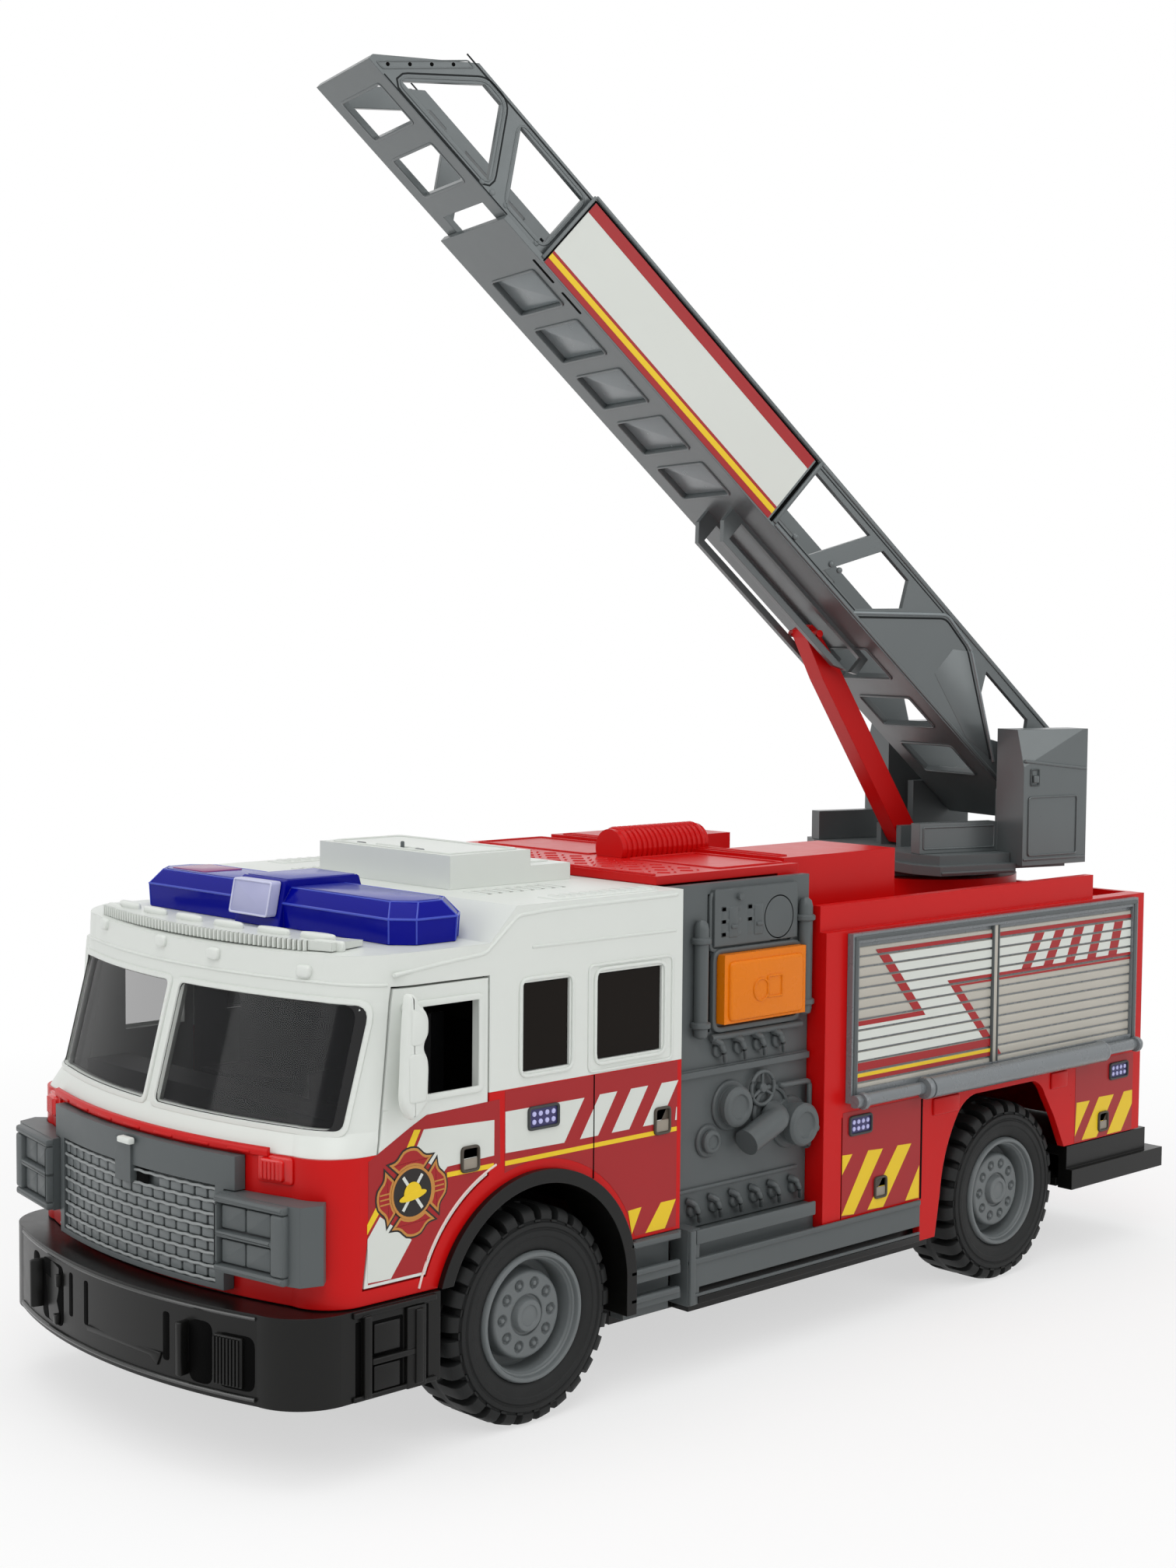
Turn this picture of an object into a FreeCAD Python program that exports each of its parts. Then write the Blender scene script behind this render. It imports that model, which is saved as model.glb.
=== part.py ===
"""Toy ladder fire engine, about 13 inches long, as a parametric FreeCAD document.

Millimetres. +Z is up, the front of the vehicle faces -Y and its left side is +X. The origin lies on
the ground under the middle of the vehicle. Every size is a cell of the sheet "Sizes", and every
sub-part is an object whose sizes are bound to those cells.
"""
import FreeCAD, Part
import math
import os
import re

import Sketcher

V = FreeCAD.Vector
os.makedirs("parts", exist_ok=True)
doc = FreeCAD.newDocument("fire_engine")
sheet = doc.addObject("Spreadsheet::Sheet", "Sizes")

# ---------------------------------------------------------------------------------------------
# Sizes: alias, value in millimetres (degrees where the note says so), what it is
# ---------------------------------------------------------------------------------------------
SIZES = (
    # general
    ("wall", 2.2, "plastic wall thickness"),
    ("fit", 0.25, "gap between pieces that are clipped together"),
    ("swing_gap", 0.5, "gap round a door"),
    ("body_half", 59.5, "half width of the cab"),
    ("rear_half", 60.0, "half width of the rear body"),
    # wheels and axles
    ("front_axle_y", -90.0, "front axle"),
    ("rear_axle_y", 90.0, "rear axle"),
    ("tyre_r", 25.5, "tyre radius, which is also the height of the axles"),
    ("tyre_w", 19.0, "tyre width"),
    ("shoulder", 2.4, "tyre shoulder chamfer"),
    ("rim_r", 15.4, "rim radius"),
    ("rim_wall", 1.4, "rim barrel wall"),
    ("dish", 4.6, "depth of the rim's dish"),
    ("disc_w", 2.4, "thickness of the dish floor"),
    ("hub_r", 10.2, "hub disc radius"),
    ("hub_proud", 1.8, "hub disc above the dish floor"),
    ("cap_r", 3.6, "hub cap radius"),
    ("cap_proud", 1.0, "hub cap above the hub disc"),
    ("wheel_out", 59.0, "distance of a wheel's outer face from the middle"),
    ("axle_r", 2.0, "steel axle radius"),
    ("axle_play", 0.08, "running clearance of a wheel on its axle"),
    # chassis
    ("floor_z", 15.6, "underside of the chassis"),
    ("floor_top", 22.6, "top of the chassis"),
    ("waist_half", 33.0, "half width of the chassis between the wheels"),
    ("chassis_half", 56.9, "half width of the chassis between the axles"),
    ("chassis_front", -146.0, "front end of the chassis"),
    ("chassis_rear", 154.0, "rear end of the chassis"),
    ("bearing_half", 5.2, "half length of an axle bearing block"),
    ("bearing_high", 4.2, "bearing block above the axle's middle"),
    # front bumper
    ("bumper_half", 60.6, "half width of the bumper"),
    ("bumper_low", 18.0, "bumper's lower edge"),
    ("bumper_top", 37.9, "bumper's upper edge"),
    ("bumper_rear", -119.6, "rear end of the bumper's sides"),
    ("bumper_side", -147.0, "where the bumper's side turns into its corner"),
    ("bumper_in", 12.1, "how far in from the side the corner meets the bowed front"),
    ("bumper_corner_y", -160.2, "where the corner meets the bowed front"),
    ("bumper_bow", 7.8, "how far the bumper's front bows forwards"),
    ("bumper_wall", 3.0, "bumper wall"),
    # cab outline
    ("cab_rear", -42.8, "rear wall of the cab"),
    ("cab_low", 38.2, "lower edge of the cab"),
    ("belt_z", 79.9, "split between lower and upper cab, along the sides"),
    ("nose_z", 70.6, "split between lower and upper cab, across the nose"),
    ("brow_z", 113.6, "cab roof over the windshield"),
    ("roof_z", 121.4, "crew cab roof"),
    ("roof_step", -104.6, "where the roof starts to rise"),
    ("roof_rise", 8.0, "length of the slope in the roof"),
    ("nose_side", -141.2, "where the cab's side turns into its corner"),
    ("nose_in", 10.5, "how far in from the side the corner meets the bowed front"),
    ("nose_y", -151.4, "where the corner meets the bowed front"),
    ("nose_bow", 7.8, "how far the cab's front bows forwards"),
    ("nose_corner_r", 10.6, "radius of the cab's front corners"),
    ("upper_side", -134.3, "where the upper cab's side turns into its corner, at the windshield's foot"),
    ("upper_in", 13.4, "how far in from the side the upper cab's corner meets its bowed front"),
    ("upper_y", -148.7, "where the upper cab's corner meets its bowed front"),
    ("upper_bow", 6.9, "how far the upper cab's front bows forwards"),
    ("upper_r", 15.2, "radius of the upper cab's front corners"),
    ("rake", 7.4, "lean of the windshield over its height"),
    ("brow_drop", 2.2, "fall of the roof from the visor's rear edge to the nose"),
    # windshield
    ("glass_low", 76.2, "lower edge of the windshield"),
    ("glass_high", 102.4, "upper edge of the windshield"),
    ("glass_half", 54.6, "half width of the windshield opening"),
    ("post_w", 5.0, "width of the windshield's middle post"),
    ("glass_t", 1.4, "windshield thickness"),
    # doors
    ("door_front", -140.6, "front edge of a door"),
    ("door_rear", -104.7, "rear edge of a door"),
    ("door_low", 41.4, "lower edge of a door"),
    ("door_high", 106.4, "upper edge of a door"),
    ("door_lean", 8.6, "lean of the door's front edge"),
    ("door_arch_r", 35.0, "radius of the door's edge round the wheel arch"),
    ("door_t", 2.2, "door thickness"),
    ("pane_front", -125.6, "front edge of the door's window"),
    ("pane_rear", -107.9, "rear edge of the door's window"),
    ("pane_low", 81.2, "lower edge of the door's window"),
    ("pane_high", 102.1, "upper edge of the door's window"),
    # crew windows
    ("mid_front", -94.6, "front edge of the narrow crew window"),
    ("mid_rear", -80.2, "rear edge of the narrow crew window"),
    ("crew_front", -71.8, "front edge of the wide crew window"),
    ("crew_rear", -49.9, "rear edge of the wide crew window"),
    ("crew_low", 83.2, "lower edge of the crew windows"),
    ("crew_high", 103.6, "upper edge of the crew windows"),
    ("crew_sink", 0.5, "crew windows below the cab's surface"),
    # wheel arches
    ("arch_z", 29.2, "height of the front arch's centre"),
    ("flare_r", 31.0, "outer radius of a front flare"),
    ("flare_w", 3.2, "width of a front flare's rim"),
    ("flare_out", 61.2, "distance of a flare's face from the middle"),
    ("flare_in", 46.0, "inner end of a flare's tunnel"),
    ("flare_low", 20.5, "lower end of the flare, behind the wheel"),
    ("rear_arch_front", 57.4, "front edge of the rear arch"),
    ("rear_arch_rear", 117.8, "rear edge of the rear arch"),
    ("rear_arch_high", 55.8, "top of the rear arch"),
    ("rear_arch_mid", 30.0, "height where the rear arch starts to curve"),
    ("rear_arch_r", 42.0, "radius of the rear arch's front curve"),
    # nose parts
    ("grille_half", 37.0, "half width of the grille"),
    ("grille_low", 39.6, "lower edge of the grille"),
    ("grille_high", 69.6, "upper edge of the grille"),
    ("grille_bow", 4.2, "how far the grille bows forwards"),
    ("grille_y", -157.8, "grille's face at its ends"),
    ("grille_t", 7.0, "grille depth"),
    ("grille_gap_z", 62.5, "top of the grille's mesh"),
    ("lamp_low", 44.6, "lower edge of a headlamp box"),
    ("lamp_high", 61.8, "upper edge of a headlamp box"),
    ("lamp_front", -160.2, "face of a headlamp box"),
    ("lamp_side", -150.6, "rear end of a headlamp box on the cab's side"),
    ("lamp_out", 59.2, "distance of a headlamp's outer face from the middle"),
    ("lamp_corner_x", 54.9, "where a headlamp's face turns its corner"),
    ("lamp_corner_y", -156.6, "where a headlamp's face turns its corner"),
    ("lamp_inner_x", 34.3, "inner face of a headlamp box"),
    ("bar_half", 50.4, "half width of the light bar"),
    ("bar_front", -125.0, "front of the light bar"),
    ("bar_rear", -104.7, "rear of the light bar"),
    ("bar_corner", 4.7, "cut corners of the light bar"),
    ("bar_crease", 119.4, "where the light bar's sides start to lean in"),
    ("bar_wing_z", 123.0, "top of the light bar's wings"),
    ("bar_lean", 2.4, "how far the light bar's sides lean in"),
    ("bar_mid_z", 124.8, "top of the light bar's middle"),
    ("bar_mid_half", 8.6, "half width of the light bar's middle"),
    ("visor_z", 110.6, "lower edge of the visor's front lip"),
    ("visor_top", 115.2, "top of the visor"),
    ("visor_half", 46.0, "half width of the visor"),
    ("visor_front", -138.6, "front lip of the visor, at its ends"),
    ("visor_bow", 6.4, "how far the visor bows forwards"),
    ("visor_rear", -130.0, "rear edge of the visor"),
    # roof unit
    ("unit_front", -88.0, "front of the roof unit"),
    ("unit_mid", -62.0, "rear of the roof unit's high box"),
    ("unit_rear", -48.6, "rear of the roof unit"),
    ("unit_half", 25.6, "half width of the roof unit"),
    ("unit_high", 8.2, "height of the roof unit"),
    ("unit_low", 4.2, "height of the roof unit's rear box"),
    # pump section
    ("panel_x", 54.0, "face of a pump panel"),
    ("panel_t", 2.4, "thickness of a pump panel"),
    ("panel_rear", 10.0, "rear edge of a pump panel"),
    ("panel_low", 35.5, "lower edge of a pump panel"),
    ("panel_high", 121.2, "upper edge of a pump panel"),
    ("button_front", -25.5, "front edge of the sound button"),
    ("button_rear", 5.0, "rear edge of the sound button"),
    ("button_low", 86.0, "lower edge of the sound button"),
    ("button_high", 103.4, "upper edge of the sound button"),
    ("button_out", 3.4, "sound button above the pump panel"),
    ("bed_half", 50.0, "half width of the deck over the pumps"),
    ("bed_top", 123.6, "top of the deck over the pumps"),
    ("block_half", 45.0, "half width of the hose bed"),
    ("block_rear", 56.0, "rear end of the hose bed"),
    ("block_top", 124.6, "top of the hose bed"),
    ("channel_half", 17.0, "half width of the open channel in the hose bed"),
    ("channel_z", 114.0, "floor of the channel in the hose bed"),
    ("reel_x", 7.0, "middle of the hose reel"),
    ("reel_y", -17.0, "front end of the hose reel"),
    ("reel_r", 5.2, "hose reel radius"),
    ("reel_len", 33.0, "length of the hose reel"),
    # rear body
    ("rear_front", 10.0, "front face of the rear body"),
    ("rear_end", 156.8, "rear face of the rear body"),
    ("rear_low", 28.9, "lower edge of the rear body"),
    ("rear_leg", 18.4, "lower end of the leg in front of the rear wheel"),
    ("rear_leg_front", 50.6, "front of that leg"),
    ("tail_low", 34.4, "lower edge of the rear body behind the wheel"),
    ("rear_high", 106.2, "top of the rear body's sides"),
    ("rim_high", 113.0, "top of the rim round the deck"),
    ("rim_x", 55.0, "distance of that rim's inner face from the middle"),
    ("rim_t", 2.8, "thickness of that rim"),
    ("rim_rear", 133.0, "rear end of that rim"),
    ("deck_z", 104.4, "deck under the turntable"),
    # side fittings of the rear body
    ("frame_front", 18.5, "front edge of a shutter frame"),
    ("frame_rear", 150.9, "rear edge of a shutter frame"),
    ("frame_low", 60.8, "lower edge of a shutter frame"),
    ("frame_high", 105.4, "upper edge of a shutter frame"),
    ("frame_w", 2.6, "width of a shutter frame's bars"),
    ("frame_out", 1.9, "shutter frame above the body"),
    ("slat_out", 0.7, "shutter slats above the body"),
    ("tube_z", 61.5, "height of the side tube"),
    ("tube_out", 63.0, "distance of the side tube from the middle"),
    ("tube_thin_r", 1.7, "radius of the side tube's ends"),
    ("tube_thick_r", 2.9, "radius of the side tube's middle"),
    ("tube_thick_front", 48.6, "front end of the thick stretch"),
    ("tube_thick_rear", 129.6, "rear end of the thick stretch"),
    # steps
    ("step_front", -58.5, "front of the three-tread step"),
    ("step_back", -43.0, "rear of the three-tread step"),
    ("step_low", 17.6, "underside of the three-tread step"),
    ("step_high", 38.0, "top of the three-tread step"),
    ("step_out", 60.2, "face of the three-tread step's treads"),
    ("step_in", 51.6, "inner face of the step"),
    ("step_back_x", 56.0, "face of the step's back wall"),
    ("tread_mid", 29.4, "top of the middle tread"),
    ("tread_low", 23.2, "top of the lower tread"),
    ("tread_t", 2.0, "tread thickness"),
    ("bar_fore", -40.7, "front of the upright bar behind the step"),
    ("bar_back", -36.8, "rear of that bar"),
    ("bar_low", 18.4, "lower end of that bar"),
    ("bar_high", 37.3, "upper end of that bar"),
    ("rocker_rear", 50.2, "rear of the side rocker"),
    ("rocker_out", 60.4, "face of the side rocker's lower ledge"),
    ("rocker_mid_z", 28.8, "top of the side rocker's lower ledge"),
    ("rocker_high", 35.2, "top of the side rocker"),
    ("rocker_in", 57.0, "face of the side rocker's upper part"),
    # tailboard
    ("tail_front", 119.4, "front end of the tailboard"),
    ("tail_end", 167.0, "rear edge of the tailboard"),
    ("tail_bottom", 21.6, "underside of the tailboard"),
    ("tail_step_z", 27.4, "top of the tailboard's wide lower step"),
    ("tail_half", 62.0, "half width of the tailboard's lower step"),
    ("tail_in", 160.4, "rear edge of the tailboard's upper step"),
    ("tail_top", 34.1, "top of the tailboard's upper step"),
    # turntable
    ("turn_yaw", -15.5, "turntable's angle, in degrees"),
    ("ring_r", 29.3, "radius of the fixed ring"),
    ("ring_gap", 0.3, "gap between the fixed ring and the rear wall"),
    ("turn_y", "=rear_end - wall - ring_r - ring_gap", "turntable's axis"),
    ("ring_z", 110.4, "top of the fixed ring"),
    ("neck_r", 24.0, "radius of the turntable's neck"),
    ("turn_z", 112.8, "underside of the turntable"),
    ("turn_ledge", 115.6, "top of the platform's lower ledge"),
    ("turn_top", 118.5, "top of the turntable's platform"),
    ("turn_half", 38.0, "half width of the platform"),
    ("turn_front", -24.5, "front edge of the platform, from the axis"),
    ("turn_rear", 34.0, "rear edge of the platform, from the axis"),
    ("turn_chamfer", 9.0, "cut corners at the platform's front"),
    ("box_in", 24.4, "inner face of a side box"),
    ("box_out", 28.6, "outer face of a side box"),
    ("box_front", -24.3, "front of a side box, from the axis"),
    ("box_high", 127.5, "top of a side box"),
    ("cabinet_in", 27.8, "inner face of a cabinet"),
    ("cabinet_out", 40.6, "outer face of a cabinet, at its front"),
    ("cabinet_taper", 3.6, "how much narrower a cabinet is at its rear"),
    ("cabinet_front", 7.0, "front of a cabinet, from the axis"),
    ("cabinet_rear", 34.0, "rear of a cabinet, from the axis"),
    ("cabinet_z", 114.9, "underside of a cabinet"),
    ("cabinet_high", 155.4, "top of a cabinet"),
    ("ear_in", 21.0, "inner face of a ladder ear"),
    ("ear_t", 3.0, "thickness of a ladder ear"),
    ("ear_front", 12.0, "front of a ladder ear, from the axis"),
    ("pivot_b", 27.0, "ladder's hinge pin, behind the axis"),
    ("pivot_z", 136.6, "height of the ladder's hinge pin"),
    ("pivot_r", 2.2, "ladder's hinge pin radius"),
    ("pivot_play", 0.1, "running clearance of the hinge pin"),
    ("ear_r", 6.0, "round top of a ladder ear"),
    # ladder, measured along it from the hinge pin and up from its underside
    ("lift", 42.5, "ladder's elevation, in degrees"),
    ("pin_up", 8.0, "hinge pin above the ladder's underside"),
    ("heel", 6.0, "ladder behind the hinge pin"),
    ("base_half", 20.3, "half width of the base section"),
    ("base_high", 25.6, "height of the base section's sides"),
    ("base_end", 240.0, "front end of the base section's floor"),
    ("side_end", 224.0, "front end of the base section's sides"),
    ("ladder_wall", 1.7, "thickness of the ladder's plates"),
    ("rail", 3.4, "height of the ladder's rails"),
    ("panel_start", 125.0, "lower end of the closed side panel"),
    ("gusset_start", 86.0, "upper end of the gusset plate"),
    ("cross_top", 90.5, "upper end of the slanting cross bar"),
    ("cross_low", 102.0, "lower end of the slanting cross bar"),
    ("cross_w", 6.6, "width of the slanting cross bar"),
    ("high_hole", 14.0, "height where the side windows' corners are cut"),
    ("rear_hole", 30.0, "side window at the ladder's lower end"),
    ("window_first", 137.0, "lower end of the first opening in the closed part's floor"),
    ("window_pitch", 18.4, "spacing of the openings in the ladder's floor"),
    ("window_len", 12.0, "length of an opening in the ladder's floor"),
    ("low_first", 15.0, "lower end of the first opening near the hinge"),
    ("low_pitch", 21.8, "spacing of the openings near the hinge"),
    ("low_window", 12.6, "length of an opening near the hinge"),
    ("window_half", 12.6, "half width of an opening in the ladder's floor"),
    ("fly_gap", 0.2, "gap between the fly section and the base section's sides"),
    ("fly_half", "=base_half - ladder_wall - fly_gap", "half width of the fly section"),
    ("fly_low", 2.0, "underside of the fly section"),
    ("fly_high", 25.2, "top of the fly section"),
    ("fly_tip", 293.5, "tip of the fly section"),
    ("fly_tail", 128.0, "rear end of the fly section"),
    ("fly_slant", 21.5, "slant of the fly section's tip"),
    ("fly_first", 273.5, "lower end of the opening nearest the tip"),
    ("post_top", 260.5, "upper end of the slanting post"),
    ("post_low", 249.5, "lower end of the slanting post"),
    ("post_wide", 8.0, "width of the slanting post"),
    ("fly_pitch", 20.3, "spacing of the openings in the fly's floor"),
    ("fly_window", 12.6, "length of an opening in the fly's floor"),
    ("track_start", 66.0, "lower end of the strut track"),
    ("track_end", 131.0, "upper end of the strut track"),
    ("track_deep", 9.2, "depth of the strut track below the ladder"),
    ("track_in", 6.0, "inner face of the track's plates"),
    ("track_t", 2.0, "thickness of the track's plates"),
    ("slot_low", 7.2, "lower edge of the track's slot, below the ladder"),
    ("slot_high", 1.2, "upper edge of the track's slot, below the ladder"),
    ("slot_start", 68.0, "lower end of the track's slot"),
    ("slot_end", 126.0, "upper end of the track's slot"),
    # strut
    ("strut_b", -8.0, "strut's foot pin, from the turntable's axis"),
    ("strut_z", 122.6, "height of the strut's foot pin"),
    ("strut_lean", 30.75, "strut's lean forwards from upright, in degrees"),
    ("strut_len", 70.65, "strut's length between its pins"),
    ("strut_half", 3.6, "half width of the strut"),
    ("strut_t", 6.8, "thickness of the strut"),
    ("strut_tip_r", 2.3, "rounding of the strut's upper end"),
    ("strut_pin_r", 1.1, "radius of the strut's pins"),
    ("strut_pin_half", 7.8, "half length of the strut's upper pin"),
    ("lug_in", 4.0, "inner face of the strut's foot lugs"),
    ("lug_t", 2.4, "thickness of the strut's foot lugs"),
    ("lug_half", 4.4, "half length of the strut's foot lugs"),
    # inside the cab
    ("cabin_floor", 62.6, "cabin floor"),
    ("dash_y", -128.0, "rear of the dashboard"),
    ("dash_z", 76.0, "top of the dashboard"),
    ("seat_front", -116.0, "front of the front seats"),
    ("seat_len", 16.0, "length of a seat cushion"),
    ("seat_high", 73.0, "top of a seat cushion"),
    ("seat_back", 95.0, "top of a seat back"),
    ("seat_in", 14.0, "inner side of a front seat"),
    ("seat_out", 38.0, "outer side of a front seat"),
    # mirrors
    ("mirror_x", 62.0, "inner face of a mirror"),
    ("mirror_t", 3.8, "mirror thickness"),
    ("mirror_front", -135.4, "front edge of a mirror"),
    ("mirror_w", 8.0, "width of a mirror"),
    ("mirror_low", 79.0, "lower edge of a mirror"),
    ("mirror_high", 103.6, "upper edge of a mirror"),
    ("mirror_arm_r", 1.3, "radius of a mirror's arms"),
)
ALIASES = set()
for row, (alias, size, note) in enumerate(SIZES, 1):
    sheet.set("A%d" % row, note)
    sheet.set("B%d" % row, str(size))
    sheet.setAlias("B%d" % row, alias)
    ALIASES.add(alias)
doc.recompute()


def bound(text):
    """An expression for an object's property: each size's name gets the sheet's name in front."""
    return re.sub(r"[a-z_]\w*", lambda m: "Sizes." + m[0] if m[0] in ALIASES else m[0], str(text))


def num(text):
    """The value of an expression now, for starting points and for shapes set in code."""
    return float(sheet.evalExpression(str(text)))


# ---------------------------------------------------------------------------------------------
# Building blocks
# ---------------------------------------------------------------------------------------------
def place(thing, x=None, y=None, z=None, yaw=None, roll=None):
    """Bind an object's placement to the sheet."""
    for path, text in (("Base.x", x), ("Base.y", y), ("Base.z", z),
                       ("Rotation.Yaw", yaw), ("Rotation.Roll", roll)):
        if text is not None:
            thing.setExpression("Placement." + path, bound(text))
    return thing


def box(x, y, z):
    """A block between two expressions on each axis."""
    thing = doc.addObject("Part::Box", "Block")
    for size, corner, (low, high) in (("Length", "x", x), ("Width", "y", y), ("Height", "z", z)):
        thing.setExpression(size, bound("(%s) - (%s)" % (high, low)))
        thing.setExpression("Placement.Base." + corner, bound(low))
    return thing


TURNS = {"x": FreeCAD.Rotation(V(0, 1, 0), 90), "y": FreeCAD.Rotation(V(1, 0, 0), -90), "z": FreeCAD.Rotation()}


def rod(axis, start, across, radius, length):
    """A round bar along an axis from start; across gives its centre on the other two axes."""
    thing = doc.addObject("Part::Cylinder", "Round")
    thing.Placement = FreeCAD.Placement(V(), TURNS[axis])
    thing.setExpression("Radius", bound(radius))
    thing.setExpression("Height", bound(length))
    others = [name for name in "xyz" if name != axis]
    place(thing, **{axis: start, others[0]: across[0], others[1]: across[1]})
    return thing


def fuse(*shapes):
    thing = doc.addObject("Part::MultiFuse", "Joined")
    thing.Shapes = list(shapes)
    return thing


def cut(base, *tools):
    thing = doc.addObject("Part::Cut", "Trimmed")
    thing.Base = base
    thing.Tool = tools[0] if len(tools) == 1 else fuse(*tools)
    return thing


def common(first, second):
    thing = doc.addObject("Part::Common", "Shared")
    thing.Base = first
    thing.Tool = second
    return thing


def mirror(source):
    """The same piece on the other side of the vehicle."""
    thing = doc.addObject("Part::Mirroring", "Mirrored")
    thing.Source = source
    thing.Normal = V(1, 0, 0)
    return thing


def both_sides(build):
    """A left-hand tool and its mirror image."""
    left = build()
    return left, mirror(left)


def start_sketch(owner, role):
    """A sketch on one of its own body's planes, or free of any body when owner is the document."""
    if owner is doc:
        return doc.addObject("Sketcher::SketchObject", "Outline")
    sketch = owner.newObject("Sketcher::SketchObject", "Outline")
    plane = [o for o in owner.Origin.OriginFeatures if o.Role == role + "_Plane"][0]
    sketch.AttachmentSupport = [(plane, "")]
    sketch.MapMode = "FlatFace"
    return sketch


def draw(sketch, corners):
    """A closed outline, anticlockwise. Each corner is (x, y) or (x, y, r): r is the radius of the arc
    that leads to the next corner, negative where the arc is hollow. All of them are expressions."""
    spots = [V(num(c[0]), num(c[1]), 0) for c in corners]
    ends = []
    for i, corner in enumerate(corners):
        a, b = spots[i], spots[(i + 1) % len(spots)]
        if len(corner) == 2:
            sketch.addGeometry(Part.LineSegment(a, b))
            ends.append((1, 2))
            continue
        r = num(corner[2])
        chord = b - a
        left = V(-chord.y, chord.x, 0).normalize()
        rise = math.sqrt(max(r * r - chord.Length ** 2 / 4, 0))
        centre = (a + b) * 0.5 + left * (rise if r > 0 else -rise)
        first, last = (a, b) if r > 0 else (b, a)
        angles = [math.atan2(p.y - centre.y, p.x - centre.x) for p in (first, last)]
        circle = Part.Circle(centre, V(0, 0, 1), abs(r))
        sketch.addGeometry(Part.ArcOfCircle(circle, *angles))
        ends.append((1, 2) if r > 0 else (2, 1))
    for i in range(len(corners)):
        nxt = (i + 1) % len(corners)
        sketch.addConstraint(Sketcher.Constraint("Coincident", i, ends[i][1], nxt, ends[nxt][0]))
    for i, corner in enumerate(corners):
        for kind, text, value in (("DistanceX", corner[0], spots[i].x), ("DistanceY", corner[1], spots[i].y)):
            k = sketch.addConstraint(Sketcher.Constraint(kind, -1, 1, i, ends[i][0], value))
            sketch.setExpression("Constraints[%d]" % k, bound(text))
        if len(corner) == 3:
            k = sketch.addConstraint(Sketcher.Constraint("Radius", i, abs(num(corner[2]))))
            sketch.setExpression("Constraints[%d]" % k, bound("abs(%s)" % corner[2]))


def pad(role, corners, length, start="0"):
    """A body made by padding an outline. XY pads towards +Z, XZ towards -Y and YZ towards +X."""
    body = doc.addObject("PartDesign::Body", "Body")
    sketch = start_sketch(body, role)
    draw(sketch, corners)
    sketch.setExpression("AttachmentOffset.Base.z", bound(start))
    feature = body.newObject("PartDesign::Pad", "Pad")
    feature.Profile = sketch
    feature.setExpression("Length", bound(length))
    body.Tip = feature
    return body


def turned(corners):
    """A body made by turning an outline (along X, away from X) round the X axis."""
    body = doc.addObject("PartDesign::Body", "Body")
    sketch = start_sketch(body, "XY")
    draw(sketch, corners)
    feature = body.newObject("PartDesign::Revolution", "Revolution")
    feature.Profile = sketch
    feature.ReferenceAxis = (sketch, ["H_Axis"])
    feature.Angle = 360
    body.Tip = feature
    return body


def rect(x, y):
    """The four corners of a rectangle between two expressions on each axis."""
    return [(x[0], y[0]), (x[1], y[0]), (x[1], y[1]), (x[0], y[1])]


NODES = {}


def node(name, thing):
    """Name a finished sub-part."""
    thing.Label = name
    NODES[name] = thing
    return thing


# ---------------------------------------------------------------------------------------------
# Wheels and axles
# ---------------------------------------------------------------------------------------------
def tyre():
    """Ring with chamfered shoulders, from its inner face at x = 0 to its outer face."""
    return turned([("0", "rim_r"), ("tyre_w", "rim_r"), ("tyre_w", "tyre_r - shoulder"),
                   ("tyre_w - shoulder", "tyre_r"), ("shoulder", "tyre_r"), ("0", "tyre_r - shoulder")])


def rim():
    """Barrel with a dished disc, a raised hub and a cap, bored for the axle."""
    floor = "tyre_w - dish"
    bore = "axle_r + axle_play"
    return turned([
        ("0", "rim_r - rim_wall"), (floor + " - disc_w", "rim_r - rim_wall"), (floor + " - disc_w", "axle_r + rim_wall + axle_play"),
        ("1", "axle_r + rim_wall + axle_play"), ("1", bore), ("%s + hub_proud - 1.2" % floor, bore),
        ("%s + hub_proud - 1.2" % floor, "0"), ("%s + hub_proud + cap_proud" % floor, "0"),
        ("%s + hub_proud + cap_proud" % floor, "cap_r"), ("%s + hub_proud" % floor, "cap_r"),
        ("%s + hub_proud" % floor, "hub_r"), (floor, "hub_r"), (floor, "rim_r - rim_wall"),
        ("tyre_w - 0.3", "rim_r - rim_wall"), ("tyre_w - 0.3", "rim_r"), ("0", "rim_r"),
    ])


WHEELS = (("front_left", 1, "front_axle_y"), ("front_right", -1, "front_axle_y"),
          ("rear_left", 1, "rear_axle_y"), ("rear_right", -1, "rear_axle_y"))
for corner, side, axle_y in WHEELS:
    for kind, build in (("tyre", tyre), ("rim", rim)):
        piece = build()
        if side < 0:
            piece = mirror(piece)
        inner = "wheel_out - tyre_w" if side > 0 else "tyre_w - wheel_out"
        place(piece, x=inner, y=axle_y, z="tyre_r")
        node(kind + "_" + corner, piece)

axle_half = "wheel_out - dish + hub_proud - 1.5"
for name, axle_y in (("front_axle", "front_axle_y"), ("rear_axle", "rear_axle_y")):
    node(name, rod("x", "-(%s)" % axle_half, (axle_y, "tyre_r"), "axle_r", "2 * (%s)" % axle_half))

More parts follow.
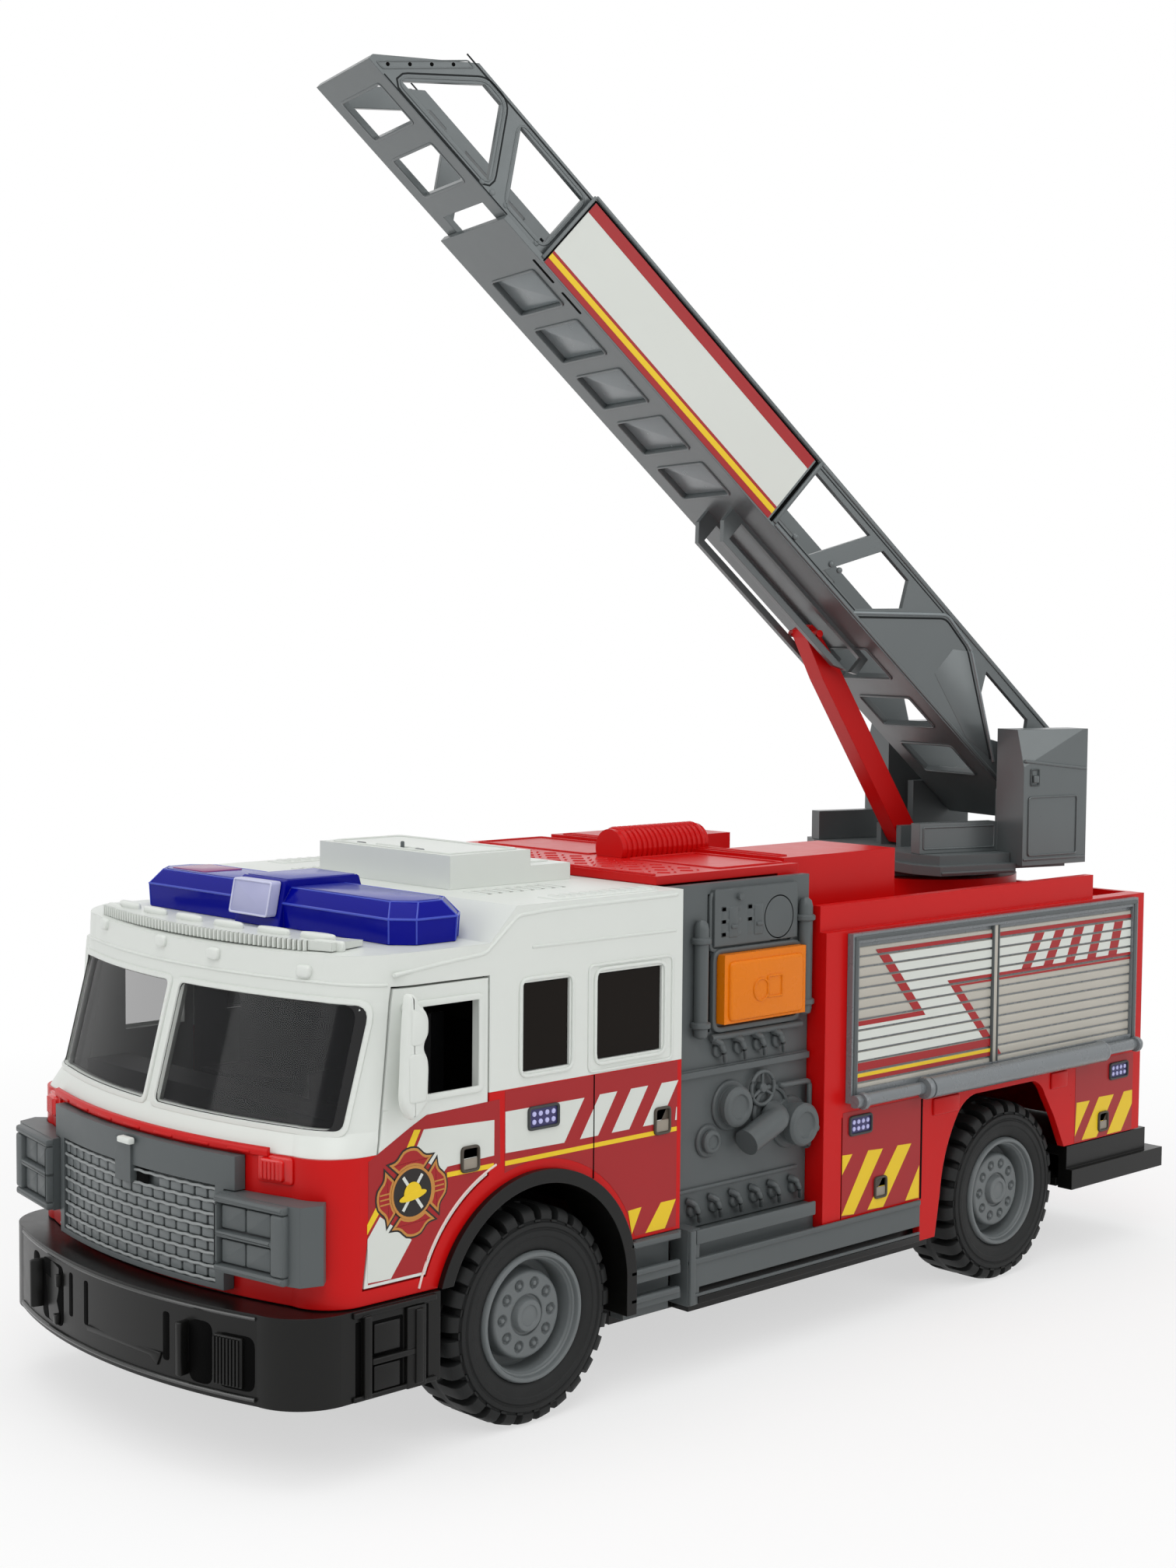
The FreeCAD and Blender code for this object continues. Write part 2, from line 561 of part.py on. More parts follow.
# ---------------------------------------------------------------------------------------------
# Chassis and bumpers
# ---------------------------------------------------------------------------------------------
bumper_inner = "bumper_half - bumper_wall - fit"
front_waist = "front_axle_y - tyre_r - 4"
mid_front = "front_axle_y + flare_r + fit"
mid_rear = "rear_axle_y - tyre_r - 6.5"
rear_waist = "rear_axle_y + tyre_r + 3.2"
half_plan = [(bumper_inner, "chassis_front"), (bumper_inner, front_waist), ("waist_half", front_waist),
             ("waist_half", mid_front), ("step_in - fit", mid_front), ("step_in - fit", "bar_back"),
             ("chassis_half", "bar_back"), ("chassis_half", mid_rear),
             ("waist_half", mid_rear), ("waist_half", rear_waist + " + 2")]
plan = half_plan + [("-(%s)" % x, y) for x, y in reversed(half_plan)]
floor = pad("XY", plan, "floor_top - floor_z", "floor_z")
bearings = [box(("-waist_half + 1", "waist_half - 1"), ("%s - bearing_half" % y, "%s + bearing_half" % y),
                ("floor_top - 1", "tyre_r + bearing_high")) for y in ("front_axle_y", "rear_axle_y")]
bores = [rod("x", "-body_half", (y, "tyre_r"), "axle_r + 0.02", "2 * body_half") for y in ("front_axle_y", "rear_axle_y")]
battery_well = box(("-24", "24"), ("-34", "34"), ("floor_z - 1", "floor_z + 1.6"))
raised = box(("-chassis_half", "chassis_half"), (rear_waist, "chassis_rear"), ("tail_bottom + 0.4", "tail_bottom + 2.8"))
riser = box(("-waist_half", "waist_half"), (rear_waist, rear_waist + " + 2"), ("floor_z", "tail_bottom + 2.8"))
chin = box(("-body_half", "body_half"), ("chassis_front - 1", front_waist), ("floor_z - 1", "bumper_low + 0.2"))
node("chassis", cut(fuse(floor, raised, riser, *bearings), battery_well, chin, *bores))
node("battery_cover", box(("-24 + fit", "24 - fit"), ("-34 + fit", "34 - fit"), ("floor_z", "floor_z + 1.6")))


def bowed(inset="0", shift="0", side="nose_side", x="(body_half - nose_in)", y="nose_y", bow="nose_bow", r="nose_corner_r",
          half="body_half", rear="cab_rear"):
    """A plan outline: straight sides, round front corners and a bowed front, drawn in by inset and
    moved back by shift."""
    chord = "((%s) - (%s) * 0.5)" % (x, inset)
    radius = "(%s * %s + (%s) * (%s)) / (2 * (%s))" % (chord, chord, bow, bow, bow)
    hx = "(%s) - (%s)" % (half, inset)
    fy = "(%s) + (%s) + (%s) * 0.9" % (y, shift, inset)
    sy = "(%s) + (%s)" % (side, shift)
    ry = "(%s) - (%s)" % (rear, inset)
    corner = "(%s) - (%s)" % (r, inset)
    return [(hx, ry), ("-(%s)" % hx, ry), ("-(%s)" % hx, sy, corner), ("-" + chord, fy, radius),
            (chord, fy, corner), (hx, sy)]


BUMPER = dict(side="bumper_side", x="(bumper_half - bumper_in)", y="bumper_corner_y", bow="bumper_bow", r="14",
              half="bumper_half", rear="bumper_rear")
bumper = pad("XY", bowed(**BUMPER), "bumper_top - bumper_low", "bumper_low")
BUMPER_INNER = dict(BUMPER, inset="bumper_wall", rear="bumper_rear + 10")
bumper_hollow = pad("XY", bowed(**BUMPER_INNER), "bumper_top - bumper_low - bumper_wall + 1", "bumper_low - 1")
wheel_room = [box(("-body_half + 4", "body_half - 4"), (front_waist, "front_axle_y"), ("bumper_low - 1", "bumper_top + 1"))]
node("front_bumper", cut(bumper, bumper_hollow, *wheel_room))

tail_low_step = box(("-tail_half", "tail_half"), ("tail_front", "tail_end"), ("tail_bottom", "tail_step_z"))
tail_high_step = box(("-rear_half", "rear_half"), ("tail_front", "tail_in"), ("tail_step_z", "tail_top"))
tail_hollow = box(("-chassis_half - fit", "chassis_half + fit"), ("tail_front - 1", "chassis_rear + fit"),
                  ("tail_bottom - 1", "tail_top - 3"))
node("tailboard", cut(fuse(tail_low_step, tail_high_step), tail_hollow))

# ---------------------------------------------------------------------------------------------
# Cab
# ---------------------------------------------------------------------------------------------
arch_y = "front_axle_y"


def arch_half(radius, z):
    """Half width of the front arch at a height."""
    return "sqrt((%s)^2 - ((%s) - arch_z)^2)" % (radius, z)


def door_outline(gap):
    """A door's outline in the side view, drawn in by gap on every edge."""
    front = "door_front + (%s)" % gap
    rear = "door_rear - (%s)" % gap
    low = "door_low + (%s)" % gap
    high = "door_high - (%s)" % gap
    r = "door_arch_r + (%s)" % gap
    arch_top = "arch_z + sqrt((%s)^2 - (%s - %s)^2)" % (r, rear, arch_y)
    return [(front, low), ("%s - %s" % (arch_y, arch_half(r, low)), low, "-(%s)" % r), (rear, arch_top),
            (rear, high), ("%s + door_lean" % front, high)]


def door_opening():
    return pad("YZ", door_outline("0"), "wall + 4", "body_half - wall - 2")


def lower_cab():
    outer = pad("XY", bowed(), "belt_z - cab_low", "cab_low")
    inner = pad("XY", bowed(inset="wall"), "belt_z - cab_low + 2", "cab_low - 1")
    split = box(("-body_half - 1", "body_half + 1"), ("nose_y - nose_bow - 1", "door_rear"), ("nose_z", "belt_z + 1"))
    arches = rod("x", "-body_half - 1", (arch_y, "arch_z"), "flare_r - flare_w + 0.6", "2 * body_half + 2")
    return cut(outer, inner, split, arches, *both_sides(door_opening))


def section(z, outline):
    """The upper cab's outline at one height."""
    sketch = start_sketch(doc, "XY")
    draw(sketch, outline)
    return place(sketch, z=z)


UPPER = dict(side="upper_side", x="(body_half - upper_in)", y="upper_y", bow="upper_bow", r="upper_r")


def upper_loft(inset):
    """The leaning upper cab: the lower cab's outline at the nose, a rounder one from the windshield up."""
    levels = (("glass_low - 0.6", "0"), ("glass_high + 0.6", "rake"), ("roof_z + 1", "rake + 1"))
    loft = doc.addObject("Part::Loft", "Loft")
    loft.Sections = [section("nose_z - 1", bowed(inset=inset))]
    loft.Sections += [section(z, bowed(inset=inset, shift=shift, **UPPER)) for z, shift in levels]
    loft.Solid = True
    loft.Ruled = True
    return loft


def side_profile(inset):
    """The upper cab in the side view, as a block across the whole width."""
    roof = "roof_z - (%s)" % inset
    brow = "brow_z - (%s)" % inset
    far = "nose_y - nose_bow - 4"
    drop = "(%s) * 2" % inset
    corners = [(far, "nose_z - " + drop), ("door_rear", "nose_z - " + drop), ("door_rear", "belt_z - " + drop),
               ("cab_rear - (%s)" % inset, "belt_z - " + drop), ("cab_rear - (%s)" % inset, roof),
               ("roof_step + roof_rise", roof), ("roof_step", brow), ("visor_rear", brow),
               (far, brow + " - brow_drop")]
    return pad("YZ", corners, "2 * body_half + 4", "-body_half - 2")


def glass_opening(side, grow="0"):
    """One of the two windshield openings, cut towards the front."""
    inner = "post_w * 0.5 - (%s)" % grow
    outer = "glass_half + (%s)" % grow
    low, high = "glass_low - (%s)" % grow, "glass_high + (%s)" % grow
    spots = rect((inner, outer), (low, high))
    if side < 0:
        spots = [("-(%s)" % x, z) for x, z in reversed(spots)]
    return pad("XZ", spots, "46", "-nose_side - 14")


def crew_opening():
    wide = box(("body_half - wall - 2", "body_half + 2"), ("crew_front", "crew_rear"), ("crew_low", "crew_high"))
    narrow = box(("body_half - wall - 2", "body_half + 2"), ("mid_front", "mid_rear"), ("crew_low", "crew_high"))
    return fuse(wide, narrow)


def upper_cab():
    outer = common(upper_loft("0"), side_profile("0"))
    inner = common(upper_loft("wall"), side_profile("wall"))
    tools = [inner, glass_opening(1), glass_opening(-1)]
    tools += both_sides(door_opening)
    tools += both_sides(crew_opening)
    return cut(outer, *tools)


node("cab_lower", lower_cab())
node("cab_upper", upper_cab())


def windshield():
    """Two bowed panes that sit in the openings, joined behind the post."""
    shell = common(upper_loft("0.9"), side_profile("0.9"))
    core = common(upper_loft("0.9 + glass_t"), side_profile("0"))
    panes = [glass_opening(1, "-fit"), glass_opening(-1, "-fit")]
    return common(cut(shell, core), fuse(*panes))


node("windshield", windshield())


def crew_windows():
    """A wide and a narrow dark panel, a little below the cab's surface."""
    span = ("body_half - wall", "body_half - crew_sink")
    wide = box(span, ("crew_front + fit", "crew_rear - fit"), ("crew_low + fit", "crew_high - fit"))
    narrow = box(span, ("mid_front + fit", "mid_rear - fit"), ("crew_low + fit", "crew_high - fit"))
    return fuse(wide, narrow)


def door():
    """A door panel with its window cut out and a strap on its inner face."""
    panel = pad("YZ", door_outline("swing_gap"), "door_t", "body_half - door_t")
    pane = box(("body_half - door_t - 1", "body_half + 1"), ("pane_front", "pane_rear"), ("pane_low", "pane_high"))
    return cut(common(panel, fuse(pad("XY", bowed(), "belt_z - cab_low", "cab_low"), upper_loft("0"))), pane)


def mirror_head():
    """A tall mirror on two arms that stand out from the door."""
    head = box(("mirror_x", "mirror_x + mirror_t"), ("mirror_front", "mirror_front + mirror_w"), ("mirror_low", "mirror_high"))
    arms = [rod("x", "body_half + 0.05", ("mirror_front + mirror_w - mirror_arm_r", z), "mirror_arm_r",
                "mirror_x - body_half + 1") for z in ("mirror_low + 2", "mirror_high - 2")]
    return fuse(head, *arms)


def flare():
    """The black rim round a front arch and the tunnel behind it, with a leg at the rear."""
    inner = "flare_r - flare_w"
    ring = [("%s - %s" % (arch_y, arch_half("flare_r", "bumper_top + 0.4")), "bumper_top + 0.4"),
            ("%s - %s" % (arch_y, arch_half(inner, "bumper_top + 0.4")), "bumper_top + 0.4", "-(%s)" % inner),
            ("%s + (%s)" % (arch_y, inner), "arch_z"), ("%s + (%s)" % (arch_y, inner), "flare_low"),
            ("%s + flare_r" % arch_y, "flare_low"), ("%s + flare_r" % arch_y, "arch_z", "flare_r")]
    return pad("YZ", ring, "flare_out - flare_in", "flare_in")


def flare_rim():
    """The flare, thinned inside the cab so that it passes through the arch cut in the cab's side."""
    waist = "flare_r - flare_w + 0.6 - fit"
    keep = fuse(rod("x", "flare_in - 1", (arch_y, "arch_z"), waist, "flare_out - flare_in + 2"),
                box(("body_half + 0.1", "flare_out + 1"), ("%s - flare_r - 1" % arch_y, "%s + flare_r + 1" % arch_y),
                    ("flare_low - 1", "arch_z + flare_r + 1")),
                box(("flare_in - 1", "flare_out + 1"), ("%s + 20" % arch_y, "%s + flare_r + 1" % arch_y),
                    ("flare_low - 1", "cab_low - fit")))
    return common(flare(), keep)


LEFT_AND_RIGHT = (("left", 1), ("right", -1))


def pair(name, build):
    """A piece on the left side of the vehicle and its mirror image on the right."""
    left = node(name + "_left", build())
    right = node(name + "_right", mirror(left))
    return left, right


pair("crew_windows", crew_windows)
pair("door", door)
pair("mirror", mirror_head)
pair("fender_flare", flare_rim)

# inside of the cab
cabin = pad("XY", bowed(inset="wall + fit", shift="4"), "1.6", "cabin_floor - 1.6")
node("cabin_floor", cabin)
dash = box(("-body_half + wall + 4", "body_half - wall - 4"), ("nose_side + 2", "dash_y"), ("cabin_floor + 0.05", "dash_z"))
node("dashboard", dash)


def seat(side):
    cushion = box(("seat_in", "seat_out"), ("seat_front", "seat_front + seat_len"), ("cabin_floor + 0.05", "seat_high"))
    back = box(("seat_in", "seat_out"), ("seat_front + seat_len - 4", "seat_front + seat_len"), ("cabin_floor + 0.05", "seat_back"))
    whole = fuse(cushion, back)
    return whole if side > 0 else mirror(whole)


node("front_seats", fuse(seat(1), seat(-1)))

# ---------------------------------------------------------------------------------------------
# Nose and roof
# ---------------------------------------------------------------------------------------------


def bow_strip(half, y, bow, depth, low, high):
    """An upright strip whose front and rear faces bow forwards alike."""
    radius = "((%s)^2 + (%s)^2) / (2 * (%s))" % (half, bow, bow)
    rear = "(%s) + (%s)" % (y, depth)
    corners = [("-(%s)" % half, y, radius), (half, y), (half, rear, "-(%s)" % radius), ("-(%s)" % half, rear)]
    return pad("XY", corners, "(%s) - (%s)" % (high, low), low)


def grille():
    """A bowed face with a wide top bar, and a bar for a badge down its middle; the mesh is set back."""
    top = bow_strip("grille_half", "grille_y", "grille_bow", "grille_t", "grille_gap_z", "grille_high")
    low = bow_strip("grille_half", "grille_y", "grille_bow", "grille_t", "grille_low", "grille_gap_z + 1")
    sides = [box(("lamp_inner_x - 2 * fit", "grille_half + 1"), ("grille_y - 9", "grille_y + 9"), ("grille_low - 1", "lamp_high + fit"))]
    sides.append(mirror(sides[0]))
    mesh_room = bow_strip("lamp_inner_x - 3", "grille_y - 4", "grille_bow", "4 + 1.4", "grille_low + 1.2", "grille_gap_z")
    badge = bow_strip("3.2", "grille_y - grille_bow - 0.6", "0.05", "3", "grille_gap_z - 4", "grille_high - 1.4")
    nose = pad("XY", bowed(inset="-fit"), "grille_high - grille_low + 2", "grille_low - 1")
    return fuse(cut(fuse(top, low), mesh_room, nose, *sides), badge)


node("grille", grille())


def headlamp():
    """A box that wraps the cab's corner."""
    outline = [("lamp_inner_x", "lamp_front"), ("lamp_corner_x", "lamp_corner_y"), ("lamp_corner_x + 2.7", "lamp_corner_y + 1"),
               ("lamp_out", "lamp_side"), ("lamp_out - 4", "lamp_side + 4"), ("lamp_inner_x", "lamp_side + 4")]
    shell = pad("XY", outline, "lamp_high - lamp_low", "lamp_low")
    nose = pad("XY", bowed(inset="-fit"), "lamp_high - lamp_low + 2", "lamp_low - 1")
    return cut(shell, nose)


pair("headlamp", headlamp)
visor = bow_strip("visor_half", "visor_front", "visor_bow", "visor_rear - visor_front", "visor_z", "visor_top")
node("sun_visor", cut(visor, side_profile("-fit")))


def bar_outline(half, inset):
    """The light bar seen from above, with its corners cut off, drawn in by inset."""
    x, front, rear = "(%s)" % half, "bar_front + %s" % inset, "bar_rear - %s" % inset
    near = "%s - bar_corner" % x
    return [("-%s + bar_corner" % x, front), (near, front), (x, front + " + bar_corner"), (x, rear + " - bar_corner"),
            (near, rear), ("-%s + bar_corner" % x, rear), ("-" + x, rear + " - bar_corner"), ("-" + x, front + " + bar_corner")]


def light_bar():
    """A long lamp with upright sides that lean in above a crease, and a raised middle."""
    body = pad("XY", bar_outline("bar_half", "0"), "bar_crease - brow_z - fit", "brow_z + fit")
    cap = doc.addObject("Part::Loft", "Loft")
    cap.Sections = [section("bar_crease", bar_outline("bar_half", "0")),
                    section("bar_wing_z", bar_outline("bar_half - bar_lean", "bar_lean"))]
    cap.Solid = True
    cap.Ruled = True
    front = "bar_front - 0.8"
    middle = pad("YZ", [(front, "brow_z + fit"), ("bar_rear + 0.4", "brow_z + fit"), ("bar_rear - 1.6", "bar_mid_z"),
                        ("bar_front + 1.4", "bar_mid_z"), (front, "bar_crease")], "2 * bar_mid_half", "-bar_mid_half")
    return fuse(body, cap, middle)


node("light_bar", light_bar())


def roof_unit():
    """A high box across the crew cab's roof and a lower one behind it."""
    x = ("-unit_half", "unit_half")
    high = box(x, ("unit_front", "unit_mid"), ("roof_z", "roof_z + unit_high"))
    low = box(x, ("unit_mid", "unit_rear"), ("roof_z", "roof_z + unit_low"))
    return fuse(high, low)


node("roof_unit", roof_unit())

# ---------------------------------------------------------------------------------------------
# Pump section
# ---------------------------------------------------------------------------------------------
panel_front = "cab_rear + fit"


def pump_panel():
    """A flat recessed panel with a gauge block, a ledge and a low step."""
    plate = box(("panel_x - panel_t", "panel_x"), (panel_front, "panel_rear - fit"), ("panel_low", "panel_high"))
    gauges = box(("panel_x - 0.5", "panel_x + 1.2"), ("-27", "4"), ("105.4", "119.6"))
    ledge = box(("panel_x - 0.5", "panel_x + 1.6"), (panel_front, "panel_rear - 1"), ("73.4", "75"))
    return fuse(plate, gauges, ledge)


pair("pump_panel", pump_panel)
node("sound_button", box(("panel_x", "panel_x + button_out"), ("button_front", "button_rear"), ("button_low", "button_high")))
deck = box(("-bed_half", "bed_half"), ("cab_rear + fit", "rear_front"), ("panel_high + fit", "bed_top"))
bed = box(("-block_half", "block_half"), ("rear_front", "block_rear"), ("rear_high + fit", "block_top"))
bed_web = box(("-bed_half", "bed_half"), ("rear_front - 8", "rear_front - fit"), ("rear_high + fit", "panel_high + 1"))
channel = box(("-channel_half", "channel_half"), ("rear_front + 6", "block_rear + 1"), ("channel_z", "block_top + 1"))
bed_hollow = box(("-block_half + wall", "block_half - wall"), ("rear_front + wall", "block_rear - wall"),
                 ("rear_high - 1", "channel_z - wall"))
reel = ("reel_x", "bed_top + 2.2")
trough = rod("y", "reel_y - fit", reel, "reel_r + fit", "reel_len + 2 * fit")
node("hose_bed", cut(fuse(deck, bed, bed_web), channel, bed_hollow, trough))
node("hose_reel", rod("y", "reel_y", reel, "reel_r", "reel_len"))

# ---------------------------------------------------------------------------------------------
# Rear body and its fittings
# ---------------------------------------------------------------------------------------------


def rear_side(inset):
    """The rear body in the side view; inset draws in its ends and top."""
    front, end = "rear_front + (%s)" % inset, "rear_end - (%s)" % inset
    top = "deck_z - (%s) + (1 - (%s) / wall) * (rear_high - deck_z)" % (inset, inset)
    return [(front, "rear_low"), ("rear_leg_front", "rear_low"), ("rear_leg_front", "rear_leg"),
            ("rear_arch_front", "rear_leg"), ("rear_arch_front + 2", "rear_arch_mid", "-rear_arch_r"),
            ("rear_arch_front + 9.6", "rear_arch_high - 4.4", "-11"), ("rear_arch_front + 17.6", "rear_arch_high"),
            ("rear_arch_rear - 16", "rear_arch_high", "-8"), ("rear_arch_rear - 10", "rear_arch_high - 4.6"),
            ("rear_arch_rear - 5", "rear_arch_high - 12"), ("rear_arch_rear", "tail_low"),
            (end, "tail_low"), (end, top), (front, top)]


def rear_body():
    """A hollow body with a deck, wheel arches and a rim round the deck."""
    outer = pad("YZ", rear_side("0"), "2 * rear_half", "-rear_half")
    hollow = box(("-rear_half + wall", "rear_half - wall"), ("rear_front + wall", "rear_end - wall"), ("0", "deck_z - wall"))
    deck_room = box(("-rim_x", "rim_x"), ("block_rear + 1", "rear_end - wall"), ("deck_z", "rear_high + 1"))
    rims = [box(("rim_x", "rim_x + rim_t"), ("rear_front", "rim_rear"), ("rear_high - 1", "rim_high"))]
    rims.append(mirror(rims[0]))
    return fuse(cut(outer, hollow, deck_room), *rims)


node("rear_body", rear_body())


def shutter():
    """A frame round a field of slats, with an upright between its two halves."""
    face = "rear_half + 0.05"
    outer = box((face, "rear_half + frame_out"), ("frame_front", "frame_rear"), ("frame_low", "frame_high"))
    room = box(("rear_half + slat_out", "rear_half + frame_out + 1"), ("frame_front + frame_w", "frame_rear - frame_w"),
               ("frame_low + frame_w + 1", "frame_high - frame_w"))
    return cut(outer, room)


pair("shutter", shutter)


def side_tube():
    """A tube along the shutter's lower edge, thick over the wheel."""
    thin = rod("y", "frame_front", ("tube_out", "tube_z"), "tube_thin_r", "frame_rear - frame_front")
    thick = rod("y", "tube_thick_front", ("tube_out + 1", "tube_z"), "tube_thick_r", "tube_thick_rear - tube_thick_front")
    feet = [box(("rear_half + frame_out + 0.02", "tube_out"), (y, y + " + 5"), ("tube_z - 1.2", "tube_z + 1.2"))
            for y in ("frame_front + 1", "frame_rear - 6")]
    return cut(fuse(thin, thick, *feet), box(("rear_half - 5", "rear_half + frame_out + 0.02"), ("0", "rear_end"), ("frame_low - 10", "frame_high")))


pair("side_tube", side_tube)


def side_step():
    """Three treads behind the front wheel."""
    y = ("step_front", "step_back")
    back = box(("step_in", "step_back_x"), y, ("step_low", "step_high"))
    treads = [box(("step_back_x - 1", "step_out"), y, (z + " - tread_t", z)) for z in ("step_high", "tread_mid", "tread_low")]
    return fuse(back, *treads)


pair("side_step", side_step)


def side_rocker():
    """A two-level ledge under the pump panel, with an upright bar at its front."""
    stand = "floor_top + 0.05"
    low = box(("rocker_in - 1", "rocker_out"), ("bar_back", "rocker_rear"), (stand, "rocker_mid_z"))
    high = box(("panel_x - panel_t", "rocker_in"), ("bar_back", "rear_front - fit"), (stand, "rocker_high"))
    under = box(("panel_x - panel_t", "rocker_in"), ("rear_front - 1", "rocker_rear"), (stand, "rocker_mid_z"))
    bar = box(("panel_x + 0.2", "rocker_out"), ("bar_fore", "bar_back + 0.2"), ("bar_low", "bar_high"))
    return cut(fuse(low, high, under, bar), box(("0", "chassis_half + fit"), ("bar_back", "rocker_rear"), ("floor_z", stand)))


pair("side_rocker", side_rocker)

# ---------------------------------------------------------------------------------------------
# Turntable: built round its axis, then turned and set on the ring
# ---------------------------------------------------------------------------------------------
node("turntable_ring", rod("z", "deck_z + 0.02", ("0", "turn_y"), "ring_r", "ring_z - deck_z"))


def on_turntable(name, thing):
    return node(name, place(thing, y="turn_y", yaw="turn_yaw"))


def plan_plate(half, front, low, high):
    """A plate with cut front corners, narrow between the cabinets."""
    inner = "cabinet_in - fit"
    corners = [("-(%s) + turn_chamfer" % half, front), ("(%s) - turn_chamfer" % half, front), (half, "(%s) + 3.4" % front),
               (half, "cabinet_front - fit"), (inner, "cabinet_front - fit"), (inner, "turn_rear"),
               ("-(%s)" % inner, "turn_rear"), ("-(%s)" % inner, "cabinet_front - fit"), ("-(%s)" % half, "cabinet_front - fit"),
               ("-(%s)" % half, "(%s) + 3.4" % front)]
    return pad("XY", corners, "(%s) - (%s)" % (high, low), low)


def pedestal():
    """Two-level platform, a neck below it, two ladder ears and the strut's lugs."""
    lower = plan_plate("turn_half", "turn_front", "turn_z", "turn_ledge")
    upper = plan_plate("turn_half - 3", "turn_front + 2", "turn_z + 1", "turn_top")
    neck = rod("z", "ring_z + 0.3", ("0", "0"), "neck_r", "turn_z - ring_z")
    ears = []
    for low, high in (("ear_in", "ear_in + ear_t"), ("-ear_in - ear_t", "-ear_in")):
        ears.append(box((low, high), ("ear_front", "turn_rear"), ("turn_top - 1", "pivot_z")))
        ears.append(rod("x", low, ("pivot_b", "pivot_z"), "ear_r", "ear_t"))
    lugs = []
    for low, high in (("lug_in", "lug_in + lug_t"), ("-lug_in - lug_t", "-lug_in")):
        lugs.append(box((low, high), ("strut_b - lug_half", "strut_b + lug_half"), ("turn_top - 1", "strut_z + 2.4")))
    hinge = rod("x", "-ear_in - ear_t", ("pivot_b", "pivot_z"), "pivot_r", "2 * (ear_in + ear_t)")
    foot = rod("x", "-lug_in - lug_t", ("strut_b", "strut_z"), "strut_pin_r", "2 * (lug_in + lug_t)")
    return fuse(lower, upper, neck, *ears, *lugs, hinge, foot)


on_turntable("turntable", pedestal())


def cabinet(side):
    """A tall tool cabinet with a bevelled top, a little narrower at its rear, and a low box in front."""
    outline = [("cabinet_in", "cabinet_front"), ("cabinet_out", "cabinet_front"),
               ("cabinet_out - cabinet_taper", "cabinet_rear"), ("cabinet_in", "cabinet_rear")]
    tall = pad("XY", outline, "cabinet_high - cabinet_z", "cabinet_z")
    bevel = pad("XZ", [("cabinet_out - 3.4", "cabinet_high + 0.1"), ("cabinet_out + 0.6", "cabinet_high - 13"),
                       ("cabinet_out + 3", "cabinet_high - 13"), ("cabinet_out + 3", "cabinet_high + 0.1")], "60", "-cabinet_rear - 10")
    low = box(("box_in", "box_out"), ("box_front + 2.6", "cabinet_front + 1"), ("turn_top + 0.05", "box_high"))
    whole = fuse(cut(tall, bevel), low)
    whole = cut(whole, box(("0", "cabinet_in - 0.02"), ("cabinet_front - fit", "cabinet_rear + 1"), ("cabinet_z - 1", "cabinet_high")))
    return whole if side > 0 else mirror(whole)


for name, side in LEFT_AND_RIGHT:
    on_turntable("cabinet_" + name, cabinet(side))

# ---------------------------------------------------------------------------------------------
# Ladder: built lying along -Y from its hinge pin, then raised and turned with the turntable
# ---------------------------------------------------------------------------------------------


def raise_ladder(name, thing):
    """Set a ladder section on the hinge pin at the ladder's elevation."""
    place(thing, x="-pivot_b * sin(turn_yaw * 1 deg)", y="turn_y + pivot_b * cos(turn_yaw * 1 deg)", z="pivot_z",
          yaw="turn_yaw", roll="-lift")
    return node(name, thing)


def along(a, b):
    """A stretch of the ladder, given from the hinge pin outwards, on the Y axis."""
    return "-(%s)" % b, "-(%s)" % a


def above(a, b):
    """A stretch of height above the ladder's underside."""
    return "(%s) - pin_up" % a, "(%s) - pin_up" % b


def floor_windows(half, low, first, pitch, count, length):
    """A row of openings in a ladder's floor."""
    return [box(("-(%s)" % half, half), along("(%s) + %d * (%s)" % (first, i, pitch), "(%s) + %d * (%s) + (%s)" % (first, i, pitch, length)),
                above("(%s) - 1" % low, "(%s) + ladder_wall + 1" % low)) for i in range(count)]


def outline_tool(corners):
    """A cut through both sides of the base; corners are (distance from the pin, height)."""
    return pad("YZ", [("-(%s)" % a, "(%s) - pin_up" % h) for a, h in corners], "2 * base_half + 4", "-base_half - 2")


